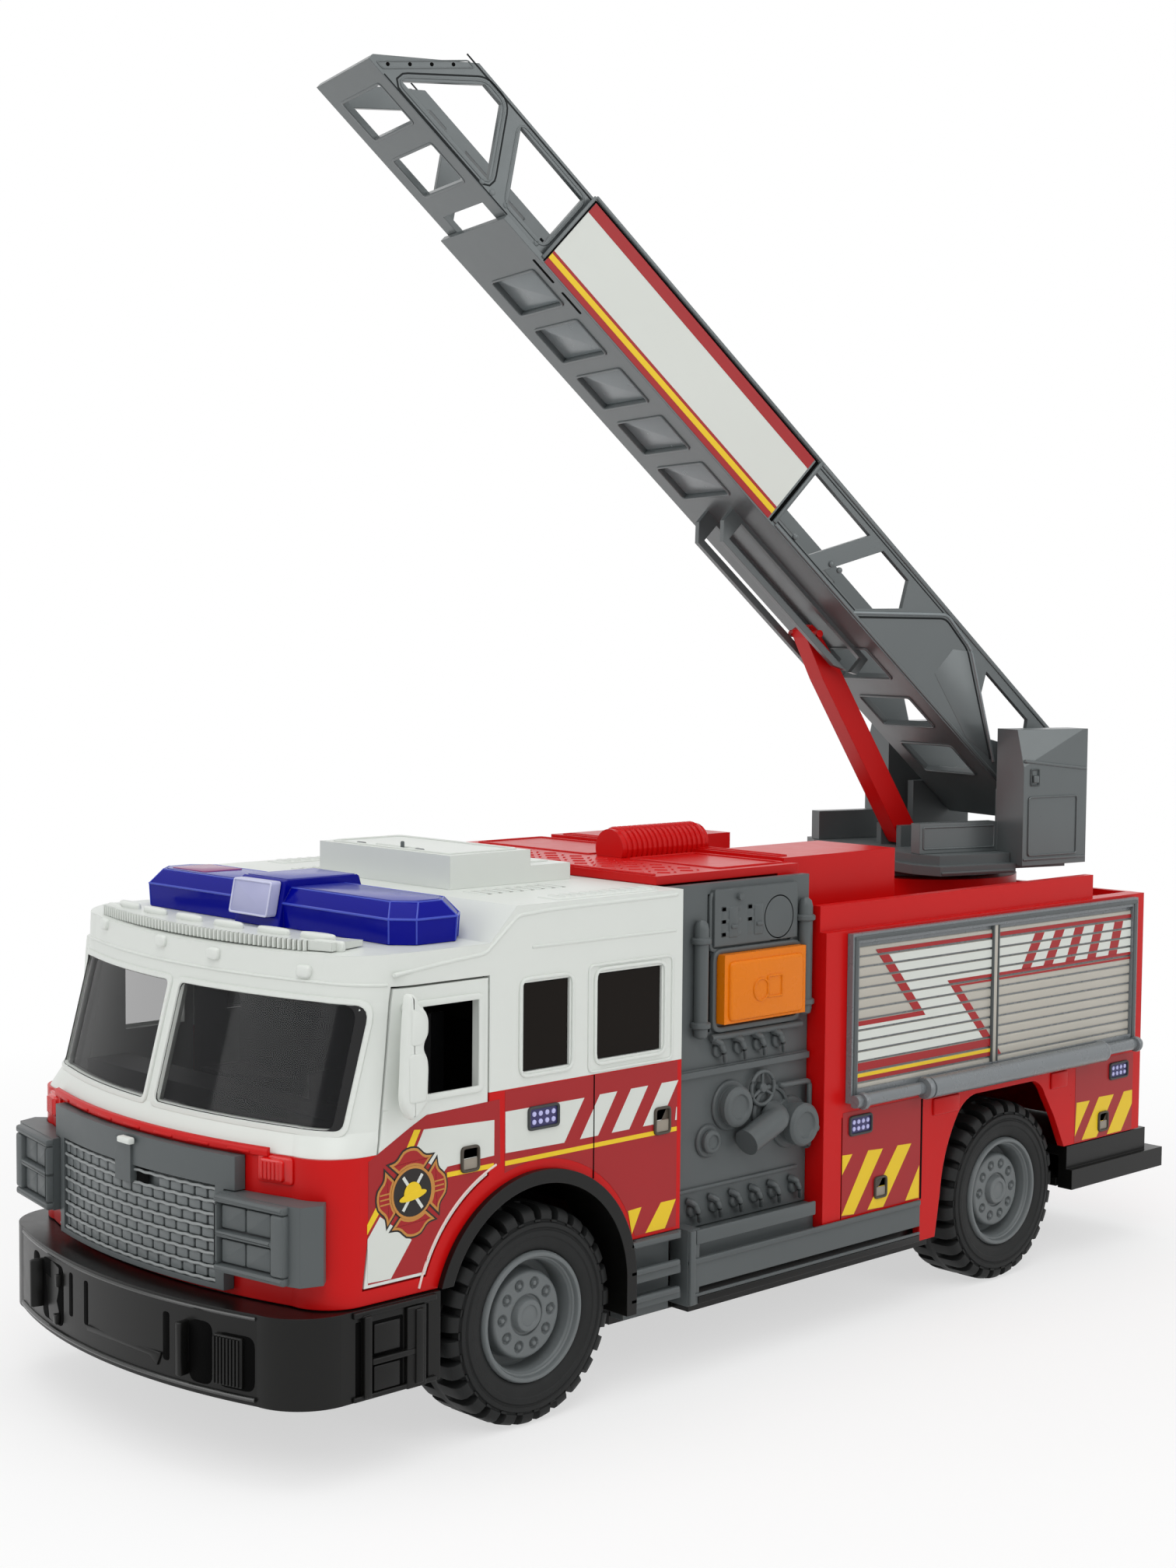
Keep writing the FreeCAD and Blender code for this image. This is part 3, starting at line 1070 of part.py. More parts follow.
def ladder_base():
    """U-shaped section: floor with openings, two sides with windows, and the strut's track below."""
    plate = box(("-base_half", "base_half"), along("-heel", "base_end"), above("0", "ladder_wall"))
    windows = floor_windows("window_half", "0", "window_first", "window_pitch", 5, "window_len")
    windows += floor_windows("window_half", "0", "low_first", "low_pitch", 3, "low_window")
    wall = box(("base_half - ladder_wall", "base_half"), along("-heel", "side_end"), above("0", "base_high"))
    low, high = "rail - 0.8", "base_high - rail - 0.6"
    holes = [
        outline_tool([("panel_start - 2", low), ("panel_start - 2", high), ("cross_top + cross_w", high), ("cross_low + cross_w", low)]),
        outline_tool([("cross_low", low), ("cross_top", high), ("gusset_start - 8", high), ("gusset_start - 12", "high_hole"),
                      ("gusset_start", low)]),
        outline_tool([("rear_hole", "high_hole - 8"), ("rear_hole + 8", high), ("16", high), ("11", "high_hole"),
                      ("rear_hole - 4", "high_hole - 8")]),
    ]
    left = cut(wall, *holes)
    pin_room = rod("x", "-base_half - 1", ("0", "0"), "pivot_r + pivot_play", "2 * base_half + 2")
    track = []
    for low, high in (("track_in", "track_in + track_t"), ("-track_in - track_t", "-track_in")):
        plate_low = pad("YZ", [("-track_end", "-pin_up - track_deep * 0.5"), ("-track_end + 4", "-pin_up - track_deep"),
                               ("-track_start - 8", "-pin_up - track_deep"), ("-track_start", "-pin_up - track_deep * 0.6"),
                               ("-track_start", "-pin_up + 0.5"), ("-track_end", "-pin_up + 0.5")], "track_t", low)
        slot = box((low + " - 1", high + " + 1"), along("slot_start", "slot_end"), above("-slot_low", "-slot_high"))
        track.append(cut(plate_low, slot))
    sleeve = rod("x", "-base_half", ("0", "0"), "pivot_r + 2", "2 * base_half")
    return cut(fuse(cut(plate, *windows), left, mirror(left), *track, sleeve), pin_room)


def ladder_fly():
    """The narrower section that slides inside the base, with a slanting tip and a slanting post in each side."""
    plate = box(("-fly_half", "fly_half"), along("fly_tail", "fly_tip"), above("fly_low", "fly_low + ladder_wall"))
    windows = floor_windows("window_half", "fly_low", "fly_first", "-fly_pitch", 3, "fly_window")
    wall = box(("fly_half - ladder_wall", "fly_half"), along("fly_tail", "fly_tip"), above("fly_low", "fly_high"))
    floor_line = "fly_low + rail - 0.6"
    roof_line = "fly_high - rail + 0.6"
    side = []
    for corners in (
        [("fly_tip - 10", floor_line), ("fly_tip - 10 - fly_slant * 0.76", roof_line), ("post_top", roof_line), ("post_low", floor_line)],
        [("post_low - post_wide", floor_line), ("post_top - post_wide", roof_line), ("side_end + 3", roof_line), ("side_end + 3", floor_line)],
        [("side_end - 4", floor_line), ("side_end - 4", roof_line), ("fly_tail + 50", roof_line), ("fly_tail + 50", floor_line)],
        [("fly_tail + 44", floor_line), ("fly_tail + 44", roof_line), ("fly_tail + 6", roof_line), ("fly_tail + 6", floor_line)],
    ):
        side.append(pad("YZ", [("-(%s)" % a, "(%s) - pin_up" % h) for a, h in corners], "ladder_wall + 2", "fly_half - ladder_wall - 1"))
    left = cut(wall, *side)
    whole = fuse(cut(plate, *windows), left, mirror(left))
    slant = pad("YZ", [("-fly_tip - 1", "fly_low - pin_up + ladder_wall"), ("-fly_tip", "fly_low - pin_up + ladder_wall"),
                       ("-fly_tip + fly_slant", "fly_high - pin_up + 0.01"), ("-fly_tip + fly_slant", "fly_high - pin_up + 1"),
                       ("-fly_tip - 1", "fly_high - pin_up + 1")], "2 * fly_half + 2", "-fly_half - 1")
    return cut(whole, slant)


raise_ladder("ladder_base", ladder_base())
raise_ladder("ladder_fly", ladder_fly())


def strut():
    """A bar that tapers to its upper pin, built upright on its foot pin, then leant forwards."""
    corners = [("-strut_t * 0.5", "0"), ("-strut_t * 0.5 + 0.2", "-2"), ("strut_t * 0.5 - 0.2", "-2"), ("strut_t * 0.5", "0"),
               ("strut_t * 0.5", "strut_len - 14"), ("strut_tip_r", "strut_len"), ("strut_tip_r * 0.6", "strut_len + strut_tip_r"),
               ("-strut_tip_r * 0.6", "strut_len + strut_tip_r"), ("-strut_tip_r", "strut_len"), ("-strut_t * 0.5", "strut_len - 14")]
    bar = pad("YZ", corners, "2 * strut_half", "-strut_half")
    pin = rod("x", "-strut_pin_half", ("0", "strut_len"), "strut_pin_r", "2 * strut_pin_half")
    eye = rod("x", "-strut_half - 1", ("0", "0"), "strut_pin_r + pivot_play", "2 * strut_half + 2")
    return cut(fuse(bar, pin), eye)


place(node("ladder_strut", strut()), x="-strut_b * sin(turn_yaw * 1 deg)", y="turn_y + strut_b * cos(turn_yaw * 1 deg)",
      z="strut_z", yaw="turn_yaw", roll="strut_lean")

# ---------------------------------------------------------------------------------------------
# Check and write
# ---------------------------------------------------------------------------------------------
doc.recompute()
faults = [o.Name + " " + o.Label for o in doc.Objects if "Invalid" in o.State or "Error" in o.State]
for name, thing in NODES.items():
    shape = thing.Shape
    if shape.isNull() or not shape.isValid() or not shape.Solids:
        faults.append("shape of " + name)
if faults:
    raise SystemExit("failed: " + ", ".join(faults))
for name, thing in NODES.items():
    thing.Shape.exportStep("parts/%s.step" % name)
print(len(NODES), "sub-parts written")
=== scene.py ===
"""Looks of a toy ladder fire engine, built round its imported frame.

Lengths here are in millimetres in the frame's axes: the front faces -Y, the left side is +X, +Z is up.
They become metres when a mesh is made. A shape is a function of two parameters on a grid, or an outline
or profile carried along a path. A place is a function that takes local (u, v, h) and gives a point:
u and v run along a surface of the toy, and h stands out from it.
"""
import math

import bpy
import numpy as np
from mathutils import Matrix

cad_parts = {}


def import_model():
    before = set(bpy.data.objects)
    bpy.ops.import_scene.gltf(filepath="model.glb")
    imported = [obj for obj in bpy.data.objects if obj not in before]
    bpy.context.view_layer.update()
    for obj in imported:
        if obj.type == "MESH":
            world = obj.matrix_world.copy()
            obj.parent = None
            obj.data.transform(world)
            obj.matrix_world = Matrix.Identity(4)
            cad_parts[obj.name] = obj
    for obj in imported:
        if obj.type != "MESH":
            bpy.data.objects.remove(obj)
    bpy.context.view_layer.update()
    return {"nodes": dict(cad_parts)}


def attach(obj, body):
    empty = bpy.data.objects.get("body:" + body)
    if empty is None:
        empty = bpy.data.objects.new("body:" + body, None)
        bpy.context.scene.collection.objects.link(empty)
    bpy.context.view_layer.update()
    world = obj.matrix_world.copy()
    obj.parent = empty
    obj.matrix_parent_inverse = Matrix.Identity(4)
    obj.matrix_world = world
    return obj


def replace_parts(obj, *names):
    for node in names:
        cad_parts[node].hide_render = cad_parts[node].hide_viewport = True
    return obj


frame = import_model()
MM = 0.001

# ---------------------------------------------------------------------------------------------
# Places
# ---------------------------------------------------------------------------------------------
TURN_Y, TURN_YAW = 125.0, math.radians(-15.5)
PIN_BACK, PIN_Z, PIN_UP, LIFT = 27.0, 136.6, 8.0, math.radians(42.5)


def side(x):
    """The left side: u to the rear, v up, h outwards."""
    return lambda u, v, h: (x + h, u, v)


def roof(z):
    """A level top: u to the left, v to the rear, h up."""
    return lambda u, v, h: (u, v, z + h)


def bowed(half, y, bow):
    """A front that bows forwards: an arc of chord 2 half and rise bow, whose ends lie at y; u is the
    length along the arc from the middle, v up."""
    r = (half * half + bow * bow) / (2 * bow)
    centre = y - bow + r
    return lambda u, v, h: ((r + h) * np.sin(u / r), centre - (r + h) * np.cos(u / r), v)


def turned(a, b, z):
    """From the turntable's own axes to the toy's."""
    c, s = math.cos(TURN_YAW), math.sin(TURN_YAW)
    return a * c - b * s, TURN_Y + a * s + b * c, z


def ladder_point(w, a, h):
    """From the ladder's own axes (across, outwards from the hinge pin, up from its underside)."""
    up = h - PIN_UP
    b = PIN_BACK - a * math.cos(LIFT) + up * math.sin(LIFT)
    return turned(w, b, PIN_Z + a * math.sin(LIFT) + up * math.cos(LIFT))


def wrapped(line, lean):
    """A wall that stands on a plan line: u is the length along the line from its middle, v up, h out of
    it. At height v the wall stands back by lean(v)."""
    line = np.array(line, float)
    length = np.concatenate([[0], np.cumsum(np.linalg.norm(np.diff(line, axis=0), axis=1))])
    length = length - length[-1] / 2
    along = np.gradient(line, length, axis=0)
    along = along / np.linalg.norm(along, axis=1)[:, None]

    def place(u, v, h):
        x, y, tx, ty = (np.interp(u, length, row) for row in (*line.T, *along.T))
        return x + h * ty, y - h * tx + lean(v), v
    return place


# ---------------------------------------------------------------------------------------------
# Outlines: arrays of (u, v)
# ---------------------------------------------------------------------------------------------
def bend(p, before, after, radius, share, count):
    """Quadratic curves of count points round the corners p. Each starts and ends a radius away from its
    corner, or a share of the shorter edge beside it if that is less; before and after are those edges."""
    sizes = [np.linalg.norm(edge, axis=1)[:, None] for edge in (before, after)]
    reach = np.minimum(np.reshape(radius, (-1, 1)), share * np.minimum(*sizes))
    a, b = (p + edge / size * reach for edge, size in zip((before, after), sizes))
    t = np.linspace(0, 1, count)[None, :, None]
    return (1 - t) ** 2 * a[:, None] + 2 * t * (1 - t) * p[:, None] + t ** 2 * b[:, None]


def rounded(corners, radius, steps=4):
    """A closed outline whose corners become curves."""
    p = np.array(corners, float)
    return bend(p, np.roll(p, 1, 0) - p, np.roll(p, -1, 0) - p, radius, 0.49, steps + 1).reshape(-1, 2)


def bent(points, radius=2.0):
    """An open path of points whose corners become curves."""
    p = np.array(points, float)
    inner = p[1:-1]
    return np.concatenate([p[:1], bend(inner, p[:-2] - inner, p[2:] - inner, radius, 0.45, 5).reshape(-1, 3), p[-1:]])


def rect(u0, u1, v0, v1, r=0.0, steps=4):
    """A rectangle from u0 to u1 and v0 to v1, with its corners rounded by r."""
    corners = [(u0, v0), (u1, v0), (u1, v1), (u0, v1)]
    return rounded(corners, r, steps) if r else np.array(corners, float)


def disc(u, v, r, n=32):
    """n points at equal angles round a circle."""
    t = np.arange(n) * 2 * np.pi / n
    return np.stack([u + r * np.cos(t), v + r * np.sin(t)], 1)


def spun(outline, angle, centre):
    """An outline turned about the origin by an angle, then moved to a centre."""
    c, s = math.cos(angle), math.sin(angle)
    return np.asarray(outline, float) @ np.array([[c, s], [-s, c]]) + centre


def ccw(outline):
    """The same outline, turned anticlockwise if it isn't."""
    p = np.asarray(outline, float)
    q = np.roll(p, -1, 0)
    return p if np.sum(p[:, 0] * q[:, 1] - q[:, 0] * p[:, 1]) > 0 else p[::-1]


def shrunk(outline, d):
    """Each corner moved inwards along its mitre, so that every edge moves by d."""
    p = ccw(outline)
    edge = np.roll(p, -1, 0) - p
    edge = edge / np.maximum(np.linalg.norm(edge, axis=1), 1e-9)[:, None]
    normal = np.stack([-edge[:, 1], edge[:, 0]], 1)
    before = np.roll(normal, 1, 0)
    return p + d * (normal + before) / np.maximum(1 + np.sum(normal * before, 1), 0.3)[:, None]


# ---------------------------------------------------------------------------------------------
# Shapes: (points, faces) in millimetres
# ---------------------------------------------------------------------------------------------
def skin(rings, ends=True):
    """Quads between closed rings of points, an array (m, n, 3); ends closes the first and last ring. The
    faces are turned so that the volume inside, the sum of a . (b x c) / 6 over the triangles (a, b, c), is
    positive."""
    m, n = rings.shape[:2]
    i, j = np.meshgrid(np.arange(m - 1), np.arange(n), indexing="ij")
    k = (j + 1) % n
    quads = np.stack([i * n + j, i * n + k, (i + 1) * n + k, (i + 1) * n + j], -1).reshape(-1, 4)
    points = rings.reshape(-1, 3)
    a, b, c, d = np.moveaxis((points - points.mean(0))[quads], 1, 0)
    volume = np.sum(a * (np.cross(b, c) + np.cross(c, d)))
    faces = quads.tolist()
    if ends:
        faces += [list(range(n))[::-1], list(range((m - 1) * n, m * n))]
        for line, sign in ((rings[0], -1), (rings[-1], 1)):
            spot = line - points.mean(0)
            volume += sign * np.sum(np.cross(spot, np.roll(spot, -1, 0)) * spot.mean(0))
    return points, faces if volume > 0 else [face[::-1] for face in faces]


def put(place, u, v, h):
    """Points at a place, from numbers or arrays of them."""
    u, v, h = np.broadcast_arrays(*(np.asarray(value, float) for value in (u, v, h)))
    return np.stack(np.broadcast_arrays(*place(u, v, h)), -1)


def stepped(place, outline, spots):
    """Rings at a place: the outline shrunk by d at height h, for each (d, h) of spots."""
    return np.stack([put(place, *shrunk(outline, d).T, h) for d, h in spots])


def relief(place, outline, high, base=0.0, r=0.35, steps=3):
    """A raised pad: its wall stands up from the outline, then rounds over through a quarter circle of
    radius r to a flat top."""
    r = min(r, high * 0.8)
    turn = np.linspace(0, np.pi / 2, steps)
    return skin(stepped(place, outline, [(0, base)] + [(r * (1 - math.cos(t)), base + high - r + r * math.sin(t))
                                                       for t in turn]))


def mark(place, outline):
    """A thin flat mark on a surface: a dark line or field."""
    return relief(place, outline, 0.06, -0.02, 0.03)


def rim_of(place, outline, width, high, base=0.0, r=0.3):
    """A raised frame along an outline: out, over and down its inner side, closed back to its start."""
    top, eased = base + high, 0.3 * r
    return skin(stepped(place, outline, [
        (0, base), (0, top - r), (eased, top - eased), (r, top), (width - r, top), (width - eased, top - eased),
        (width, top - r), (width, base), (0, base)]), ends=False)


def ring(place, outer, inner, low, high, r=0.25):
    """A raised border between two outlines with as many corners each: up at the outer one, over, and down
    at the inner one. Its edges are cut into parts of about 2.5, so that it follows a curved place."""
    outer, inner = ccw(outer), ccw(inner)
    counts = np.maximum(1, np.ceil(np.linalg.norm(np.roll(outer, -1, 0) - outer, axis=1) / 2.5)).astype(int)
    edge = np.repeat(np.arange(len(outer)), counts)
    part = ((np.arange(len(edge)) - (np.cumsum(counts) - counts)[edge]) / counts[edge])[:, None]
    a, b = (p[edge] * (1 - part) + np.roll(p, -1, 0)[edge] * part for p in (outer, inner))
    spots = [(0, low), (0, high - r), (0.12, high), (0.88, high), (1, high - r), (1, low), (0, low)]
    return skin(np.stack([put(place, *(a * (1 - t) + b * t).T, h) for t, h in spots]), ends=False)


def lathe(place, profile, n=48, centre=(0.0, 0.0)):
    """A profile of (radius, height) pairs carried round a centre on the surface."""
    r, h = np.array(profile, float).T[:, :, None]
    t = np.arange(n) * 2 * np.pi / n
    return skin(put(place, centre[0] + r * np.cos(t), centre[1] + r * np.sin(t), h))


def tube(path, radius, n=12, closed=False):
    """A circle carried along a path of points; each ring stands square to the path there."""
    p = np.array(path, float)
    tangent = np.roll(p, -1, 0) - np.roll(p, 1, 0) if closed else np.gradient(p, axis=0)
    tangent = tangent / np.linalg.norm(tangent, axis=1)[:, None]
    other = np.where(np.abs(tangent[:, 2:]) > 0.9, np.array([[1.0, 0, 0]]), np.array([[0, 0, 1.0]]))
    first = np.cross(tangent, other)
    first = (first / np.linalg.norm(first, axis=1)[:, None])[:, None]
    second = np.cross(tangent[:, None], first)
    t = (np.arange(n) * 2 * np.pi / n)[None, :, None]
    radius = np.broadcast_to(np.asarray(radius, float), (len(p),))[:, None, None]
    rings = p[:, None] + radius * (np.cos(t) * first + np.sin(t) * second)
    return skin(np.concatenate([rings, rings[:1]]) if closed else rings, ends=not closed)


def block(place, u, v, h, r=0.3):
    """A box between two values along each axis, with rounded top edges."""
    corner = min(r, 0.3 * (u[1] - u[0]), 0.3 * (v[1] - v[0]))
    return relief(place, rect(*u, *v, corner, 2), h[1] - h[0], h[0], r)


def blocks(place, rows):
    """Boxes from rows of (u0, u1, v0, v1, h0, h1) and, where it isn't 0.3, the radius of their edges."""
    return [block(place, row[:2], row[2:4], row[4:6], *row[6:]) for row in rows]


def marks(place, rows):
    """Thin marks from rows of (u0, u1, v0, v1) and, if their corners are round, a radius."""
    return [mark(place, rect(*row)) for row in rows]


def wedge(place, section, v):
    """A section of (u, h) corners carried straight along v; both ends are closed."""
    p = ccw(section)
    return skin(np.stack([put(place, p[:, 0], value, p[:, 1]) for value in v]))


def carried(place, u, section):
    """A section of (v, h) corners carried along u; both ends are closed."""
    return skin(np.stack([put(place, u, v, h) for v, h in section], 1))


# ---------------------------------------------------------------------------------------------
# Materials
# ---------------------------------------------------------------------------------------------
def ink(r, g, b):
    """A colour given in the 0 to 255 steps of a screen, as the linear values that a shader takes."""
    c = np.array([r, g, b]) / 255.0
    return (*np.where(c <= 0.04045, c / 12.92, ((c + 0.055) / 1.055) ** 2.4).tolist(), 1.0)


def fed(tree, node, inputs):
    """The node, with each named input set to a value or linked to another node's output."""
    for key, value in inputs.items():
        if isinstance(value, bpy.types.NodeSocket):
            tree.links.new(value, node.inputs[key])
        else:
            node.inputs[key].default_value = value
    return node


def added(tree, kind, inputs, **settings):
    """A new shader node of a kind, set up and fed."""
    node = tree.nodes.new("ShaderNode" + kind)
    for key, value in settings.items():
        setattr(node, key, value)
    return fed(tree, node, inputs)


def maths(tree, operation, a, b):
    """The outcome of one sum of two values or sockets."""
    return added(tree, "Math", {0: a, 1: b}, operation=operation).outputs[0]


def own_place(tree):
    """Where a point lies in its object's own space."""
    return tree.nodes.new("ShaderNodeTexCoord").outputs["Object"]


def bare(name):
    """A new material, its tree and its shader."""
    mat = bpy.data.materials.new(name)
    mat.use_nodes = True
    return mat, mat.node_tree, mat.node_tree.nodes["Principled BSDF"]


def moulded_group():
    """Moulded plastic: a slight drift of tone, fine spark-eroded grain, faint scuffs in the gloss."""
    tree = bpy.data.node_groups.new("moulded", "ShaderNodeTree")
    for way, names in (("INPUT", ("Color", "Drift", "Gloss", "Scuff")), ("OUTPUT", ("Color", "Roughness", "Height"))):
        for name in names:
            kind = "NodeSocketColor" if name == "Color" else "NodeSocketFloat"
            tree.interface.new_socket(name, in_out=way, socket_type=kind)
    source, out = tree.nodes.new("NodeGroupInput").outputs, tree.nodes.new("NodeGroupOutput")
    where = own_place(tree)

    def noise(scale, detail):
        """Soft noise from 0 to 1 over the object."""
        return added(tree, "TexNoise", {"Scale": scale, "Detail": detail, "Vector": where}).outputs["Fac"]

    def varied(value, pattern, amount):
        """value + (pattern - 0.5) * amount."""
        shift = maths(tree, "MULTIPLY", maths(tree, "SUBTRACT", pattern, 0.5), amount)
        return maths(tree, "ADD", value, shift)

    tone = varied(1.0, noise(45, 3), source["Drift"])
    colour = added(tree, "VectorMath", {0: source["Color"], "Scale": tone}, operation="SCALE").outputs[0]
    rough = varied(source["Gloss"], noise(260, 5), source["Scuff"])
    fed(tree, out, {"Color": colour, "Roughness": rough, "Height": noise(2600, 2)})
    return tree


MOULDED = moulded_group()
EDGE = 0.28 * MM


def plastic(name, rgb, gloss=0.30, drift=0.10, scuff=0.10, grain=0.0, edge=EDGE, metallic=0.0, specular=0.3):
    """A moulded plastic: the shared group feeds colour, roughness and grain; edges are softened."""
    mat, tree, shader = bare(name)
    group = fed(tree, added(tree, "Group", {}, node_tree=MOULDED),
                {"Color": ink(*rgb), "Gloss": gloss, "Drift": drift, "Scuff": scuff}).outputs
    bump = added(tree, "Bump", {"Strength": grain, "Distance": 0.1 * MM, "Height": group["Height"]})
    if edge:
        fed(tree, bump, {"Normal": added(tree, "Bevel", {"Radius": edge}, samples=4).outputs[0]})
    fed(tree, shader, {"Base Color": group["Color"], "Roughness": group["Roughness"], "Normal": bump.outputs[0],
                       "Metallic": metallic, "Specular IOR Level": specular})
    return mat


def foil(name, rgb, gloss=0.32, drift=0.06, scuff=0.10):
    """A printed sticker: too thin for a soft edge."""
    return plastic(name, rgb, gloss, drift, scuff, edge=0)


BRIGHT_RED, BRIGHT_WHITE = (196, 12, 12), (217, 221, 216)
RED = plastic("red_plastic", BRIGHT_RED, specular=0.18)
WHITE = plastic("white_plastic", BRIGHT_WHITE, 0.34, 0.04)
# painted shade: a grey laid behind the visor's ribs and in the gaps between the roof louvres
GAP_SHADE = plastic("gap_shade", (128, 130, 124), 0.4, 0.05)
# painted shade: a slightly darker copy of the white plastic for the sun visor, so that its white ribs, ends and lugs
# stand out
SHADED_VISOR_WHITE = plastic("shaded_visor_white", (206, 210, 205), drift=0.06)
GREY = plastic("grey_plastic", (84, 89, 90), 0.42, scuff=0.14, grain=0.06)
DARK_GREY = plastic("dark_grey_plastic", (58, 61, 62), 0.42, scuff=0.14, grain=0.06)
LADDER_GREY = plastic("ladder_grey_plastic", (90, 96, 97), drift=0.16, grain=0.02, metallic=0.25, specular=0.6)
# painted light: a lighter copy of the ladder grey, a painted highlight on ridges and a painted reflection of the floor
# on the floor panels
LADDER_HIGHLIGHT = plastic("ladder_highlight_plastic", (118, 126, 128), 0.26, 0.16, 0.08, metallic=0.25, specular=0.6)
# painted shade: a dark grey laid along grooves and round gauges, where shade falls in the grooves
GROOVE_SHADE = plastic("groove_shade", (34, 37, 38), 0.5, edge=0, specular=0.1)
BLACK = plastic("black_plastic", (13, 13, 12), drift=0.20, scuff=0.12, grain=0.03, specular=0.25)
# painted shade: a near-black laid as thin marks in slots, grooves, holes and seams, where shade falls in them
PIT = plastic("shadowed_recess", (6, 6, 6), 0.8, 0.20, specular=0.05)
BLUE = plastic("blue_lens", (2, 8, 138), 0.14, 0.20, 0.05, specular=0.12)
# painted reflection: a lighter copy of the blue lens for the bar's top faces
BLUE_TOP_REFLECTION = plastic("blue_lens_top_reflection", (40, 50, 150), 0.24, 0.20, 0.08)
# painted highlight: a lighter copy of the blue lens for thin lines along the bar's edges and corners
BLUE_EDGE_HIGHLIGHT = plastic("blue_lens_edge_highlight", (58, 74, 186), 0.2, scuff=0.05, edge=0)
ORANGE = plastic("orange_plastic", (224, 120, 6), 0.28, 0.08, specular=0.2)
GASKET = plastic("gasket_black", (22, 22, 23), 0.12, 0.2, edge=0)
SMOKED = plastic("smoked_panel", (22, 17, 13), 0.2, 0.20, 0.06, specular=0.08)
RUBBER = plastic("tyre_rubber", (30, 31, 31), 0.56, 0.25, 0.20, 0.10, specular=0.2)
RIM = plastic("rim_plastic", (104, 109, 110), 0.40, scuff=0.14, grain=0.04)
STEEL = plastic("steel", (170, 170, 172), grain=0.02, metallic=1.0)
SILVER = plastic("silver_plastic", (112, 117, 120), 0.28, specular=0.6)
CABIN = plastic("cabin_plastic", (30, 30, 32), 0.5, 0.15, 0.15)
FOIL_RED = foil("sticker_red", (158, 24, 28))
FOIL_WHITE = foil("sticker_white", (212, 216, 210), drift=0.04)
FOIL_MARGIN = foil("sticker_margin", (228, 206, 200), drift=0.04)
FOIL_YELLOW = foil("sticker_yellow", (232, 196, 30))
FOIL_GOLD = foil("sticker_gold", (190, 132, 62))
FOIL_BLACK = foil("sticker_black", (34, 30, 28), 0.34, 0.10)
SLAT_SILVER = foil("slat_silver", (182, 178, 168), 0.30, 0.10, 0.06)
LED_FACE = foil("led_panel", (58, 54, 100), 0.30, 0.10)
LED_DOT = foil("led_dot", (190, 190, 236), 0.25, 0.10)
LENS_RED = plastic("red_lamp_lens", (208, 14, 12), 0.15, scuff=0.05, specular=0.5)
REFLECTOR = plastic("reflector_foil", (176, 178, 214), 0.22, 0.30, 0.20)
REFLECTOR_RIM = plastic("reflector_rim", (206, 208, 236), 0.2)
MAGENTA = plastic("magenta_lens", (128, 22, 104), 0.2, 0.20, 0.05)
GRIP_DARK = plastic("grip_dark", (78, 70, 60), 0.45, 0.15)
GRIP_LIGHT = plastic("grip_light", (146, 138, 126), 0.40, 0.15)
GRIP_RIM = plastic("grip_rim", (72, 66, 58), 0.45, 0.15)
# painted light: lighter copies of the grey plastic, the lighter for painted highlights along the grille's bars, the
# other for painted light on the pads' faces
GRILLE_BAR_HIGHLIGHT = plastic("grille_bar_highlight_grey", (142, 146, 146), grain=0.02)
GRILLE_PAD_LIT = plastic("grille_pad_lit_grey", (104, 109, 110), 0.34, scuff=0.12, grain=0.04)
# painted highlight: a lighter copy of the black for the bumper's lips; its low roughness and strong specular are the
# lips' real gloss
BUMPER_LIP_HIGHLIGHT = plastic("bumper_lip_gloss_and_highlight", (34, 35, 34), 0.2, specular=0.6)


def shade_inside(mat, lows, highs):
    """Painted shade: inside a box of the object's own space the colour gives way to a darker one, the product of six
    comparisons, two for each axis."""
    tree = mat.node_tree
    shader = tree.nodes["Principled BSDF"]
    where = added(tree, "SeparateXYZ", {0: own_place(tree)}).outputs
    mask = 1.0
    for axis in range(3):
        for test, limit in (("GREATER_THAN", lows[axis]), ("LESS_THAN", highs[axis])):
            mask = maths(tree, "MULTIPLY", mask, maths(tree, test, where[axis], limit * MM))
    mix = added(tree, "Mix", {}, data_type="RGBA")
    fed(tree, mix, {"Factor": mask, "A": shader.inputs["Base Color"].links[0].from_socket, "B": ink(26, 23, 21)})
    fed(tree, shader, {"Base Color": mix.outputs["Result"]})
    return mat


# painted shade: the cab shells' inner faces, inside these boxes, are darkened for the shade inside the cab
CAB_WHITE = shade_inside(plastic("cab_white", BRIGHT_WHITE, 0.34, 0.04), (-57.6, -130.0, 70.0), (57.6, -43.4, 111.9))
CAB_RED = shade_inside(plastic("cab_red", BRIGHT_RED, specular=0.18), (-57.6, -134.0, 37.0), (57.6, -43.4, 80.0))


def window_glass():
    """A tinted pane: half see-through, with a smooth reflection that grows at grazing angles."""
    mat, tree, shader = bare("tinted_pane")
    fed(tree, shader, {"Base Color": ink(24, 25, 27), "Roughness": 0.05, "Alpha": 0.42, "Specular IOR Level": 0.25})
    return mat


LOOKS = (
    (BLACK, "chassis battery_cover front_bumper tailboard fender_flare"), (STEEL, "axle"), (CAB_RED, "cab_lower"),
    (RED, "rear_body turntable_ring hose_bed hose_reel ladder_strut"), (CAB_WHITE, "cab_upper"),
    (SHADED_VISOR_WHITE, "sun_visor"), (WHITE, "roof_unit mirror door"), (BLUE, "light_bar"), (ORANGE, "sound_button"),
    (SMOKED, "crew_windows"), (window_glass(), "windshield"), (CABIN, "dashboard cabin_floor front_seats"),
    (GREY, "grille headlamp pump_panel side_step side_rocker turntable"), (SILVER, "shutter side_tube"),
    (LADDER_GREY, "cabinet ladder_base ladder_fly"), (RUBBER, "tyre"), (RIM, "rim"))

